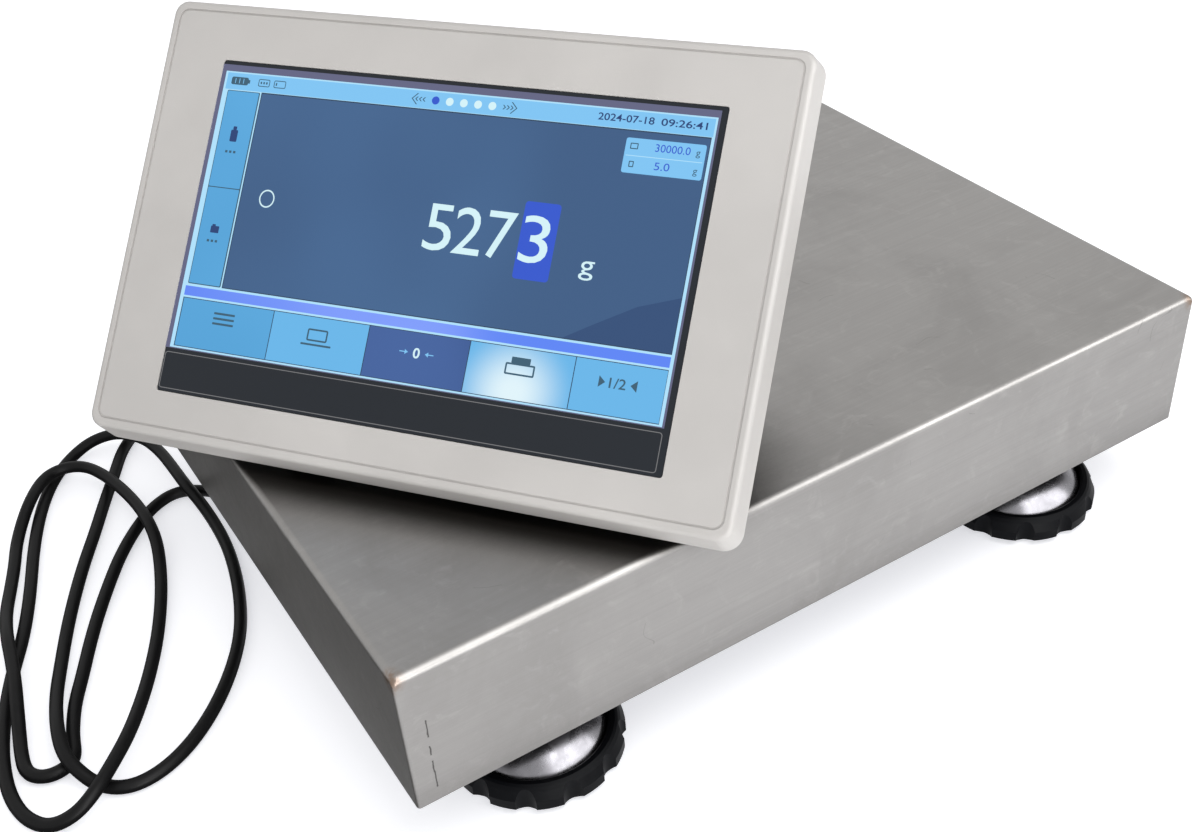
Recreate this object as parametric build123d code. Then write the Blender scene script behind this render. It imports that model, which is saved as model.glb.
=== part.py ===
from build123d import *
from math import sin, cos, tan, radians, pi, hypot
import os

# Bench scale with a free-standing touch indicator. All lengths are millimetres.
# While it is built, X runs along the pan's front edge, Y to the back, Z up from the bench,
# and the origin is the pan's front-left corner. The finished model is moved so that its
# origin is the middle of the object's footprint.

# Weighing pan: a folded stainless cover
PAN_LENGTH = 400.0
PAN_WIDTH = 300.0
PAN_TOP = 105.0
SKIRT_HEIGHT = 68.0
PAN_SHEET = 1.2
PAN_BEND = 3.0
PAN_CORNER = 1.6

# Levelling feet
FOOT_INSET_X = 65.5
FOOT_INSET_Y = 32.0
KNOB_RADIUS = 37.5
KNOB_HEIGHT = 12.0
KNOB_SCALLOPS = 12
SCALLOP_RADIUS = 5.0
SCALLOP_DEPTH = 2.6
SCALLOP_TURN = 24.0
PAD_RADIUS = 32.0
PAD_THICKNESS = 2.0
DOME_RADIUS = 29.5
DOME_HEIGHT = 12.0
DOME_SEAT = 4.0
DOME_RIM = 2.0
DOME_SHOULDER = (0.80, 0.66)
DOME_GAP = 0.9
RING_TOP_WIDTH = 3.0
RING_BEVEL = 2.2
NECK_RADIUS = 8.0
NECK_HEIGHT = 2.0
STUD_RADIUS = 5.0
STUD_TOP = 74.0
STUD_FIT = 0.06
LOCKNUT_HEIGHT = 6.0
LOCKNUT_FLATS = 17.0

# Base frame: two tube rails and a folded centre plate
RAIL_WIDTH = 30.0
RAIL_HEIGHT = 16.0
RAIL_WALL = 1.5
RAIL_BOTTOM = 38.0
RAIL_OVERHANG = 16.7
RAIL_CAP_LIP = 2.0
RAIL_CAP_PLUG = 10.0
BOSS_RADIUS = 9.0
BOSS_STAND = 6.0
PLATE_LENGTH = 170.0
PLATE_THICKNESS = 4.0
FLANGE_DROP = 18.0
FLANGE_THICKNESS = 3.0
SEAT_CLEARANCE = 0.05

# Load cell and what carries it
CELL_LENGTH = 150.0
CELL_WIDTH = 40.0
CELL_HEIGHT = 28.0
CELL_BORE_RADIUS = 10.5
CELL_BORE_SPACING = 30.0
CELL_SLOT = 5.0
CELL_SCREW_INSET = 11.0
CELL_SCREW_PITCH = 20.0
SCREW_RADIUS = 3.0
SCREW_HEAD_RADIUS = 5.0
SCREW_HEAD_HEIGHT = 6.0
SCREW_GRIP = 12.0
HOLE_CLEARANCE = 0.3
SPACER_LENGTH = 40.0
SPACER_THICKNESS = 3.0
POTTING_LENGTH = 56.0
POTTING_HEIGHT = 22.0
POTTING_THICKNESS = 1.2

# Live frame under the pan
SPIDER_THICKNESS = 4.0
SPIDER_HUB_LENGTH = 176.0
SPIDER_HUB_WIDTH = 76.0
SPIDER_ARM_WIDTH = 30.0
SPIDER_PAD_RADIUS = 17.0
RIB_THICKNESS = 3.0
RIB_DEPTH = 9.0
RIB_START_SHARE = 0.62
BUMPER_INSET_X = 84.0
BUMPER_INSET_Y = 42.0
BUMPER_RADIUS = 10.0
BUMPER_STEM_RADIUS = 4.0
BUMPER_STEM = 6.0
STOP_OFFSET = 13.0
STOP_GAP = 0.8
STOP_NUT_FLATS = 10.0
STOP_NUT_HEIGHT = 5.0
STOP_TAIL = 4.0
CENTRE_STOP_INSET = 13.0

# Bubble level on the rear rail
LEVEL_X = 300.0
LEVEL_RADIUS = 9.0
LEVEL_HEIGHT = 9.0
VIAL_RADIUS = 7.0
VIAL_HEIGHT = 5.0

# Cable gland in the centre plate's left flange
GLAND_Y = 215.0
GLAND_DROP = 9.0
GLAND_HEX = 14.0
GLAND_THREAD_RADIUS = 6.0
GLAND_HEX_LENGTH = 5.0
GLAND_CAP_LENGTH = 14.0
GLAND_CAP_RADIUS = 7.0
GLAND_NUT_LENGTH = 4.0
LEAD_RADIUS = 2.0
LEAD_HOLE_RADIUS = 7.0

# Indicator: where its lower left front corner stands and how it leans
IND_X = -44.9
IND_Y = 193.2
IND_RISE = 15.0
IND_YAW = -51.9
IND_TILT = 43.11

# Indicator front
BEZEL_WIDTH = 276.5
BEZEL_HEIGHT = 183.1
BEZEL_DEPTH = 14.0
BEZEL_CORNER = 6.0
BEZEL_FLARE = 1.6
BEZEL_FLARE_BOTTOM = 3.4
BEZEL_EDGE = 2.2
BEZEL_WALL = 2.4
BEZEL_FACE = 3.0
FACE_GROOVE_INSET = 3.4
FACE_GROOVE_WIDTH = 0.9
FACE_GROOVE_DEPTH = 0.5
GLASS_WIDTH = 217.8
GLASS_HEIGHT = 140.1
GLASS_BOTTOM = 18.8
GLASS_THICKNESS = 1.6
GLASS_RECESS = 0.4
GLASS_FIT = 0.2
GLASS_LEDGE = 2.0
LCD_WIDTH = 211.8
LCD_HEIGHT = 117.2
LCD_BOTTOM = 18.7
LCD_BORDER = 4.0
LCD_THICKNESS = 5.0
FRAME_SHEET = 1.0
FRAME_OVERLAP = 9.0

# Indicator back
COVER_DEPTH = 12.0
COVER_INSET = 3.8
COVER_INSET_BACK = 6.5
COVER_BOTTOM = 1.5
COVER_BOTTOM_BACK = 8.0
COVER_WALL = 2.2
COVER_CORNER = 5.0
COVER_EDGE = 2.0
VENT_COUNT = 6
VENT_BOTTOM = 135.1
VENT_COLUMN_GAP = 16.0
VENT_LENGTH = 34.0
VENT_WIDTH = 2.4
VENT_PITCH = 6.0
CASE_SCREW_INSET_X = 14.0
CASE_SCREW_INSET_TOP = 14.0
CASE_SCREW_INSET_BOTTOM = 20.0
CASE_SCREW_RADIUS = 1.5
CASE_HEAD_RADIUS = 2.9
CASE_HEAD_HEIGHT = 2.0
CASE_BOSS_RADIUS = 4.0
BOARD_WIDTH = 170.0
BOARD_HEIGHT = 78.0
BOARD_THICKNESS = 1.6
BOARD_BACK_GAP = 8.0
BOARD_BATTERY_GAP = 10.0
BOARD_POST_RADIUS = 3.0
BOARD_POST_INSET = 4.0
BOARD_BLOCKS = ((70.0, 22.0, 98.0, 50.0, 2.4), (20.0, 4.0, 46.0, 10.0, 5.0), (122.0, 4.0, 148.0, 10.0, 5.0))
BATTERY_WIDTH = 104.0
BATTERY_HEIGHT = 38.0
BATTERY_THICKNESS = 12.0
BATTERY_BOTTOM = 26.0
BATTERY_DOOR_MARGIN = 6.0
DOOR_THICKNESS = 2.0
DOOR_LIP = 3.0
DOOR_FIT = 0.4
INDICATOR_FOOT_LENGTH = 14.0
INDICATOR_FOOT_DEPTH = 9.0
INDICATOR_FOOT_SET_BACK = 13.0
INDICATOR_FOOT_SPREAD = 92.0
CLIP_CENTRES = (112.0, 190.0)
CLIP_WIDTH = 9.0
CLIP_THICKNESS = 1.0
CLIP_PROUD = 0.7

# Connectors and the power button, placed from the indicator's lower left corner
SOCKET_U = 55.0
SOCKET_V = 125.0
SOCKET_RADIUS = 6.0
SOCKET_LENGTH = 8.0
SOCKET_FLANGE_RADIUS = 10.0
SOCKET_FLANGE_THICKNESS = 2.0
SOCKET_TAIL = 7.0
PLUG_CLEARANCE = 0.8
PLUG_RING_RADIUS = 9.4
PLUG_RING_LENGTH = 17.0
PLUG_SHELL_RADIUS = 7.6
PLUG_SHELL_LENGTH = 22.0
PLUG_BOOT_RADIUS = 6.2
PLUG_BOOT_TIP_RADIUS = 4.2
PLUG_BOOT_LENGTH = 22.0
JACK_U = 236.0
JACK_V = 92.0
JACK_RADIUS = 4.6
JACK_BORE_RADIUS = 2.8
JACK_DEPTH = 11.0
JACK_LIP = 1.2
JACK_LIP_WIDTH = 1.4
JACK_FLOOR = 2.0
JACK_PIN_RADIUS = 0.9
PORT_U = 224.0
PORT_V = 125.0
PORT_WIDTH = 30.0
PORT_HEIGHT = 11.0
PORT_DEPTH = 8.0
PORT_SHELL = (17.0, 8.4, 2.5)
PORT_MOUTH = (15.6, 7.0, 1.9)
PORT_PROUD = 5.0
PORT_FLOOR = 0.5
PORT_POST_SPREAD = 12.5
PORT_POST_HALF_FLATS = 2.4
PORT_POST_HEIGHT = 4.0
BUTTON_U = 243.0
BUTTON_V = 62.0
BUTTON_RADIUS = 6.0
BUTTON_FIT = 0.35
BUTTON_PROUD = 1.6
BUTTON_TRAVEL = 1.2
BUTTON_STEM_RADIUS = 2.0
BUTTON_FLANGE_GAP = 0.3
BUTTON_FLANGE_THICKNESS = 1.0
BUTTON_FLANGE_WIDTH = 1.5
BUTTON_STEM_END = 4.0
BUTTON_EDGE = 0.8
SWITCH_GAP = 0.4
SWITCH_HALF = 6.0
SWITCH_HEIGHT = 4.0
BRACKET_HALF = 4.0
BRACKET_INNER = 8.5
BRACKET_OUTER = 11.0
BRACKET_SHEET = 2.0

# Folding stand leg behind the indicator
STAND_V = 125.0
STAND_STAND_OFF = 6.0
STAND_WIDTH = 99.0
STAND_LENGTH = 86.0
STAND_THICKNESS = 3.0
STAND_SLOTS = 3
STAND_SLOT_WIDTH = 16.0
STAND_SLOT_PITCH = 26.0
STAND_SLOT_MARGIN = 22.0
STAND_LEAN = 3.0
STAND_BARREL_RADIUS = 4.5
PIN_RADIUS = 2.0
PIN_FIT = 0.06
LUG_THICKNESS = 4.0
LUG_GAP = 0.5
TIP_LENGTH = 9.0
TIP_WIDTH = 20.0
TIP_WALL = 1.5

# Cord between the base and the indicator, laid loosely on the bench
CORD_RADIUS = 3.0
LAY = 3.3
HUMP = 10.4
CORD_LEAD_OUT = 18.0


# Planes and places worked out from the sizes above
PLATE_BOTTOM = RAIL_BOTTOM + RAIL_HEIGHT
PLATE_TOP = PLATE_BOTTOM + PLATE_THICKNESS
CELL_BOTTOM = PLATE_TOP + SPACER_THICKNESS
CELL_TOP = CELL_BOTTOM + CELL_HEIGHT
SPIDER_BOTTOM = CELL_TOP + SPACER_THICKNESS
SPIDER_TOP = SPIDER_BOTTOM + SPIDER_THICKNESS
PAN_UNDERSIDE = PAN_TOP - PAN_SHEET
MID_X = PAN_LENGTH / 2
MID_Y = PAN_WIDTH / 2
PLATE_LEFT = MID_X - PLATE_LENGTH / 2
FLANGE_BOTTOM = PLATE_BOTTOM - FLANGE_DROP
GLAND_Z = PLATE_BOTTOM - GLAND_DROP
COVER_FRONT = -BEZEL_DEPTH
COVER_BACK = -BEZEL_DEPTH - COVER_DEPTH
GLASS_LEFT = (BEZEL_WIDTH - GLASS_WIDTH) / 2
HINGE_Z = COVER_BACK - STAND_STAND_OFF
STAND_OPEN = IND_TILT - STAND_LEAN
CORNERS = [(sx, sy) for sx in (-1, 1) for sy in (-1, 1)]

yaw = radians(IND_YAW)
tilt = radians(IND_TILT)
ACROSS = Vector(cos(yaw), sin(yaw), 0)
BACKWARD = Vector(-sin(yaw), cos(yaw), 0)
UP_FACE = Vector(0, 0, 1) * cos(tilt) + BACKWARD * sin(tilt)
OUTWARD = ACROSS.cross(UP_FACE)
FACE = Plane(origin=(IND_X, IND_Y, PAN_TOP + IND_RISE), x_dir=ACROSS, z_dir=OUTWARD)


def box(low, high):
    """A box between two opposite corners."""
    size = [b - a for a, b in zip(low, high)]
    middle = [(a + b) / 2 for a, b in zip(low, high)]
    return Pos(*middle) * Box(*size)


def disc(x, y, low, high, radius):
    """An upright cylinder between two heights."""
    return Pos(x, y, (low + high) / 2) * Cylinder(radius, high - low)


def hexagon(x, y, low, high, flats):
    """An upright hexagonal prism."""
    shape = extrude(RegularPolygon(flats / 2, 6, major_radius=False), high - low)
    return Pos(x, y, low) * shape


def on_face(shape):
    """Move a shape from the indicator's own axes to the bench's."""
    return FACE.location * shape


def corner_places(inset_x, inset_y):
    """The four places at one inset from the pan's sides."""
    dx, dy = MID_X - inset_x, MID_Y - inset_y
    return [(MID_X + sx * dx, MID_Y + sy * dy) for sx, sy in CORNERS]


FOOT_PLACES = corner_places(FOOT_INSET_X, FOOT_INSET_Y)
BUMPER_PLACES = corner_places(BUMPER_INSET_X, BUMPER_INSET_Y)
STOP_PLACES = corner_places(BUMPER_INSET_X, BUMPER_INSET_Y - STOP_OFFSET)
CELL_RIGHT = MID_X + CELL_LENGTH / 2
CELL_LEFT = MID_X - CELL_LENGTH / 2
FIXED_SCREWS = [(CELL_LEFT + CELL_SCREW_INSET, MID_Y), (CELL_LEFT + CELL_SCREW_INSET + CELL_SCREW_PITCH, MID_Y)]
LIVE_SCREWS = [(CELL_RIGHT - CELL_SCREW_INSET, MID_Y), (CELL_RIGHT - CELL_SCREW_INSET - CELL_SCREW_PITCH, MID_Y)]
CENTRE_STOP = (CELL_RIGHT - CELL_SCREW_INSET - CELL_SCREW_PITCH / 2, MID_Y + CENTRE_STOP_INSET)


def pan():
    """Folded cover: flat top, four skirts, a small bend radius and tight welded corners."""
    skirt_bottom = PAN_TOP - SKIRT_HEIGHT
    shell = box((0, 0, skirt_bottom), (PAN_LENGTH, PAN_WIDTH, PAN_TOP))
    shell = fillet(shell.edges().filter_by(Axis.Z), PAN_CORNER)
    shell = fillet(shell.faces().sort_by(Axis.Z)[-1].edges(), PAN_BEND)
    t = PAN_SHEET
    inside = box((t, t, skirt_bottom - t), (PAN_LENGTH - t, PAN_WIDTH - t, PAN_UNDERSIDE))
    inside = fillet(inside.faces().sort_by(Axis.Z)[-1].edges(), PAN_BEND - t)
    return shell - inside


def pan_bumpers():
    """Rubber buttons between the live frame and the pan, stems through the frame."""
    shapes = []
    for x, y in BUMPER_PLACES:
        head = disc(x, y, SPIDER_TOP, PAN_UNDERSIDE, BUMPER_RADIUS)
        stem = disc(x, y, SPIDER_TOP - BUMPER_STEM, SPIDER_TOP, BUMPER_STEM_RADIUS)
        shapes.append(head + stem)
    return shapes


def spider():
    """Live frame: a hub plate over the load cell and four ribbed arms to the bumpers."""
    plan = Pos(MID_X, MID_Y) * Rectangle(SPIDER_HUB_LENGTH, SPIDER_HUB_WIDTH)
    for x, y in BUMPER_PLACES:
        dx, dy = x - MID_X, y - MID_Y
        reach = hypot(dx, dy)
        angle = Vector(dx, dy, 0).get_signed_angle(Vector(1, 0, 0), Vector(0, 0, -1))
        plan += Pos(MID_X + dx / 2, MID_Y + dy / 2) * Rot(0, 0, angle) * Rectangle(reach, SPIDER_ARM_WIDTH)
        plan += Pos(x, y) * Circle(SPIDER_PAD_RADIUS)
    for x, y in BUMPER_PLACES:
        plan -= Pos(x, y) * Circle(BUMPER_STEM_RADIUS + SEAT_CLEARANCE)
    for x, y in LIVE_SCREWS:
        plan -= Pos(x, y) * Circle(SCREW_RADIUS + HOLE_CLEARANCE)
    plate = Pos(0, 0, SPIDER_BOTTOM) * extrude(plan, SPIDER_THICKNESS)
    for x, y in BUMPER_PLACES:
        dx, dy = x - MID_X, y - MID_Y
        reach = hypot(dx, dy)
        angle = Vector(dx, dy, 0).get_signed_angle(Vector(1, 0, 0), Vector(0, 0, -1))
        start, end = RIB_START_SHARE * reach, reach - SPIDER_PAD_RADIUS
        for side in (-1, 1):
            offset = side * (SPIDER_ARM_WIDTH - RIB_THICKNESS) / 2
            rib = box((start, offset - RIB_THICKNESS / 2, SPIDER_BOTTOM - RIB_DEPTH),
                      (end, offset + RIB_THICKNESS / 2, SPIDER_BOTTOM))
            plate += Pos(MID_X, MID_Y) * Rot(0, 0, angle) * rib
    return plate


def spacer(right_side):
    """Square washer plate between the load cell and what it is bolted to."""
    if right_side:
        low, holes, bottom = CELL_RIGHT - SPACER_LENGTH, LIVE_SCREWS, CELL_TOP
    else:
        low, holes, bottom = CELL_LEFT, FIXED_SCREWS, PLATE_TOP
    half = CELL_WIDTH / 2
    plate = box((low, MID_Y - half, bottom), (low + SPACER_LENGTH, MID_Y + half, bottom + SPACER_THICKNESS))
    for x, y in holes:
        plate -= disc(x, y, bottom, bottom + SPACER_THICKNESS, SCREW_RADIUS + HOLE_CLEARANCE)
    return plate


def cell_screws(upper):
    """Socket head screws that hold one end of the load cell."""
    shapes = []
    socket_depth = SCREW_HEAD_HEIGHT * 0.5
    for x, y in (LIVE_SCREWS if upper else FIXED_SCREWS):
        if upper:
            head = disc(x, y, SPIDER_TOP, SPIDER_TOP + SCREW_HEAD_HEIGHT, SCREW_HEAD_RADIUS)
            shank = disc(x, y, CELL_TOP - SCREW_GRIP, SPIDER_TOP, SCREW_RADIUS)
            key = hexagon(x, y, SPIDER_TOP + SCREW_HEAD_HEIGHT - socket_depth,
                          SPIDER_TOP + SCREW_HEAD_HEIGHT, SCREW_HEAD_RADIUS)
        else:
            head = disc(x, y, PLATE_BOTTOM - SCREW_HEAD_HEIGHT, PLATE_BOTTOM, SCREW_HEAD_RADIUS)
            shank = disc(x, y, PLATE_BOTTOM, CELL_BOTTOM + SCREW_GRIP, SCREW_RADIUS)
            key = hexagon(x, y, PLATE_BOTTOM - SCREW_HEAD_HEIGHT,
                          PLATE_BOTTOM - SCREW_HEAD_HEIGHT + socket_depth, SCREW_HEAD_RADIUS)
        shapes.append(head + shank - key)
    return shapes


def load_cell():
    """Single-point beam with the double bore that forms its two thin flexures."""
    half = CELL_WIDTH / 2
    beam = box((CELL_LEFT, MID_Y - half, CELL_BOTTOM), (CELL_RIGHT, MID_Y + half, CELL_TOP))
    beam = chamfer(beam.edges().filter_by(Axis.X), 1.0)
    middle = (CELL_BOTTOM + CELL_TOP) / 2
    for side in (-1, 1):
        bore = Pos(MID_X + side * CELL_BORE_SPACING / 2, MID_Y, middle) * Rot(90, 0, 0) \
            * Cylinder(CELL_BORE_RADIUS, CELL_WIDTH)
        beam -= bore
    reach = CELL_BORE_SPACING / 2
    beam -= box((MID_X - reach, MID_Y - half, middle - CELL_SLOT / 2),
                (MID_X + reach, MID_Y + half, middle + CELL_SLOT / 2))
    depth = SCREW_GRIP + 3.0
    for x, y in FIXED_SCREWS:
        beam -= disc(x, y, CELL_BOTTOM, CELL_BOTTOM + depth, SCREW_RADIUS + SEAT_CLEARANCE)
    for x, y in LIVE_SCREWS:
        beam -= disc(x, y, CELL_TOP - depth, CELL_TOP, SCREW_RADIUS + SEAT_CLEARANCE)
    return beam


def gauge_potting():
    """Sealing compound over the strain gauges on the load cell's rear side."""
    face = MID_Y + CELL_WIDTH / 2
    middle = (CELL_BOTTOM + CELL_TOP) / 2
    half, rise = POTTING_LENGTH / 2, POTTING_HEIGHT / 2
    return box((MID_X - half, face, middle - rise), (MID_X + half, face + POTTING_THICKNESS, middle + rise))


def base_rail(y):
    """Rectangular tube across the base with a welded boss hole at each foot."""
    low = FOOT_INSET_X - RAIL_OVERHANG
    high = PAN_LENGTH - low
    top = RAIL_BOTTOM + RAIL_HEIGHT
    half = RAIL_WIDTH / 2
    tube = box((low, y - half, RAIL_BOTTOM), (high, y + half, top))
    tube = fillet(tube.edges().filter_by(Axis.X), RAIL_WALL)
    w = RAIL_WALL
    tube -= box((low, y - half + w, RAIL_BOTTOM + w), (high, y + half - w, top - w))
    for x in (FOOT_INSET_X, PAN_LENGTH - FOOT_INSET_X):
        tube -= disc(x, y, RAIL_BOTTOM, top, BOSS_RADIUS + SEAT_CLEARANCE)
    for x, stop_y in STOP_PLACES:
        if abs(stop_y - y) < half:
            tube -= disc(x, stop_y, RAIL_BOTTOM, top, SCREW_RADIUS + SEAT_CLEARANCE)
    return tube


def rail_caps():
    """Plastic plugs that close the four rail ends."""
    shapes = []
    low = FOOT_INSET_X - RAIL_OVERHANG
    half, w = RAIL_WIDTH / 2, RAIL_WALL + 0.2
    top = RAIL_BOTTOM + RAIL_HEIGHT
    for y in (FOOT_INSET_Y, PAN_WIDTH - FOOT_INSET_Y):
        lip = box((low - RAIL_CAP_LIP, y - half, RAIL_BOTTOM), (low, y + half, top))
        lip = fillet(lip.edges().filter_by(Axis.X), RAIL_WALL)
        cap = lip + box((low, y - half + w, RAIL_BOTTOM + w), (low + RAIL_CAP_PLUG - 4.0, y + half - w, top - w))
        shapes += [cap, mirror(cap, about=Plane.YZ.offset(MID_X))]
    return shapes


def foot_bosses():
    """Threaded bushes welded through the rails, one over each foot."""
    top = RAIL_BOTTOM + RAIL_HEIGHT + BOSS_STAND
    shapes = []
    for x, y in FOOT_PLACES:
        bush = disc(x, y, RAIL_BOTTOM, top, BOSS_RADIUS)
        shapes.append(bush - disc(x, y, RAIL_BOTTOM, top, STUD_RADIUS + STUD_FIT))
    return shapes


def foot_locknuts():
    """Hexagon nuts on the foot studs, tightened up against the bosses."""
    shapes = []
    for x, y in FOOT_PLACES:
        nut = hexagon(x, y, RAIL_BOTTOM - LOCKNUT_HEIGHT, RAIL_BOTTOM, LOCKNUT_FLATS)
        shapes.append(nut - disc(x, y, RAIL_BOTTOM - LOCKNUT_HEIGHT, RAIL_BOTTOM, STUD_RADIUS + STUD_FIT))
    return shapes


def base_plate():
    """Folded centre plate that bridges the rails and carries the load cell and the gland."""
    right = PLATE_LEFT + PLATE_LENGTH
    front = FOOT_INSET_Y - RAIL_WIDTH / 2
    back = PAN_WIDTH - front
    plate = box((PLATE_LEFT, front, PLATE_BOTTOM), (right, back, PLATE_TOP))
    plate = fillet(plate.edges().filter_by(Axis.Z), 6.0)
    inner = FOOT_INSET_Y + RAIL_WIDTH / 2 + 1.0
    for x in (PLATE_LEFT, right - FLANGE_THICKNESS):
        plate += box((x, inner, FLANGE_BOTTOM), (x + FLANGE_THICKNESS, PAN_WIDTH - inner, PLATE_TOP))
    for x, y in FIXED_SCREWS:
        plate -= disc(x, y, PLATE_BOTTOM, PLATE_TOP, SCREW_RADIUS + HOLE_CLEARANCE)
    plate -= disc(*CENTRE_STOP, PLATE_BOTTOM, PLATE_TOP, SCREW_RADIUS + SEAT_CLEARANCE)
    plate -= disc(LEAD_HOLE_X, LEAD_HOLE_Y, PLATE_BOTTOM, PLATE_TOP, LEAD_HOLE_RADIUS)
    plate -= Pos(PLATE_LEFT + FLANGE_THICKNESS / 2, GLAND_Y, GLAND_Z) * Rot(0, 90, 0) \
        * Cylinder(GLAND_THREAD_RADIUS + SEAT_CLEARANCE, FLANGE_THICKNESS)
    return plate


def overload_stops():
    """Set screws under the live frame and the load cell that take an overload."""
    shapes = []
    for x, y in STOP_PLACES:
        shapes.append(disc(x, y, RAIL_BOTTOM, SPIDER_BOTTOM - STOP_GAP, SCREW_RADIUS))
    x, y = CENTRE_STOP
    low = PLATE_BOTTOM - STOP_NUT_HEIGHT - STOP_TAIL
    shapes.append(disc(x, y, low, CELL_BOTTOM - STOP_GAP, SCREW_RADIUS))
    return shapes


def stop_locknuts():
    """Nuts that lock the overload stops."""
    top = RAIL_BOTTOM + RAIL_HEIGHT
    seats = [(x, y, top) for x, y in STOP_PLACES]
    seats.append((*CENTRE_STOP, PLATE_BOTTOM - STOP_NUT_HEIGHT))
    shapes = []
    for x, y, low in seats:
        nut = hexagon(x, y, low, low + STOP_NUT_HEIGHT, STOP_NUT_FLATS)
        shapes.append(nut - disc(x, y, low, low + STOP_NUT_HEIGHT, SCREW_RADIUS + SEAT_CLEARANCE))
    return shapes


def bubble_level():
    """Round level on the rear rail: a cup and the sealed vial in it."""
    y = PAN_WIDTH - FOOT_INSET_Y
    low = RAIL_BOTTOM + RAIL_HEIGHT
    top = low + LEVEL_HEIGHT
    cup = disc(LEVEL_X, y, low, top, LEVEL_RADIUS)
    cup -= disc(LEVEL_X, y, top - VIAL_HEIGHT, top, VIAL_RADIUS + SEAT_CLEARANCE)
    vial = disc(LEVEL_X, y, top - VIAL_HEIGHT, top - 0.4, VIAL_RADIUS)
    return cup, vial


def foot_profile(points):
    """Turn a closed half outline, given as radius and height, about the foot's axis."""
    line = Polyline(*[(r, 0, z) for r, z in points], close=True)
    return revolve(make_face(line), Axis.Z)


def foot_knob():
    """Scalloped hand ring: a drafted wall, a narrow rounded top and a seat for the dome."""
    low, high = PAD_THICKNESS, PAD_THICKNESS + KNOB_HEIGHT
    seat = high - DOME_SEAT
    bore, inner = STUD_RADIUS + STUD_FIT, DOME_RADIUS + DOME_GAP
    top, bevel = inner + RING_TOP_WIDTH, RING_BEVEL
    ring = foot_profile([
        (bore, low), (KNOB_RADIUS - bevel, low), (KNOB_RADIUS, low + bevel / 2), (KNOB_RADIUS, seat - bevel),
        (top + bevel, high - bevel), (top + bevel / 2, high - bevel / 3), (top, high), (inner + bevel / 2, high),
        (inner, high - bevel / 2), (inner, seat), (bore, seat)])
    centre = KNOB_RADIUS + SCALLOP_RADIUS - SCALLOP_DEPTH
    for place in PolarLocations(centre, KNOB_SCALLOPS, start_angle=SCALLOP_TURN):
        ring -= place * Pos(0, 0, (low + high) / 2) * Cylinder(SCALLOP_RADIUS, 2 * KNOB_HEIGHT)
    return ring


def foot_dome():
    """Polished steel dome with its neck and threaded stud."""
    seat = PAD_THICKNESS + KNOB_HEIGHT - DOME_SEAT
    crown = seat + DOME_HEIGHT
    neck = crown + NECK_HEIGHT
    rim = seat + DOME_RIM
    mid_r, mid_z = DOME_RADIUS * DOME_SHOULDER[0], seat + DOME_HEIGHT * DOME_SHOULDER[1]
    outline = Polyline((NECK_RADIUS, 0, crown), (NECK_RADIUS, 0, neck), (STUD_RADIUS, 0, neck + 2.0),
                       (STUD_RADIUS, 0, STUD_TOP - 1.0), (STUD_RADIUS - 1.0, 0, STUD_TOP), (0, 0, STUD_TOP),
                       (0, 0, PAD_THICKNESS), (STUD_RADIUS, 0, PAD_THICKNESS), (STUD_RADIUS, 0, seat),
                       (DOME_RADIUS, 0, seat), (DOME_RADIUS, 0, rim))
    crest = ThreePointArc((DOME_RADIUS, 0, rim), (mid_r, 0, mid_z), (NECK_RADIUS, 0, crown))
    return revolve(make_face([*outline.edges(), crest]), Axis.Z)


def foot_pad():
    """Rubber sole under the ring; it stays still while the ring turns."""
    return disc(0, 0, 0, PAD_THICKNESS, PAD_RADIUS)


def gland_axis(start, end, radius):
    """A cylinder on the gland's axis between two X places."""
    return Pos((start + end) / 2, GLAND_Y, GLAND_Z) * Rot(0, 90, 0) * Cylinder(radius, end - start)


def gland_hex(start, end, flats):
    """A hexagonal prism on the gland's axis between two X places."""
    shape = extrude(RegularPolygon(flats / 2, 6, major_radius=False), end - start)
    return Pos(start, GLAND_Y, GLAND_Z) * Rot(0, 90, 0) * shape


GLAND_SEAT = PLATE_LEFT
GLAND_INNER = PLATE_LEFT + FLANGE_THICKNESS + GLAND_NUT_LENGTH
GLAND_MOUTH = GLAND_SEAT - GLAND_HEX_LENGTH - GLAND_CAP_LENGTH
LEAD_HOLE_X = CELL_LEFT + 26.0
LEAD_HOLE_Y = MID_Y + CELL_WIDTH / 2 + 33.0


def cable_gland():
    """Cable gland in the base: hexagonal body, domed sealing cap and inner nut."""
    hex_end = GLAND_SEAT - GLAND_HEX_LENGTH
    body = gland_hex(hex_end, GLAND_SEAT, GLAND_HEX)
    body += gland_axis(GLAND_SEAT, GLAND_INNER, GLAND_THREAD_RADIUS)
    cap = gland_axis(GLAND_MOUTH, hex_end, GLAND_CAP_RADIUS)
    cap = fillet(cap.faces().sort_by(Axis.X)[0].edges(), 2.5)
    nut_start = PLATE_LEFT + FLANGE_THICKNESS
    nut = gland_hex(nut_start, GLAND_INNER, GLAND_HEX)
    nut -= gland_axis(nut_start, GLAND_INNER, GLAND_THREAD_RADIUS + SEAT_CLEARANCE)
    return body, cap, nut


def bend_radii(points):
    """Each corner's radius: as large as its two runs allow."""
    radii = []
    for a, b, c in zip(points, points[1:], points[2:]):
        before, after = Vector(*b) - Vector(*a), Vector(*c) - Vector(*b)
        turn = radians(before.get_angle(after))
        radii.append(0.45 * min(before.length, after.length) / tan(turn / 2))
    return radii


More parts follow.
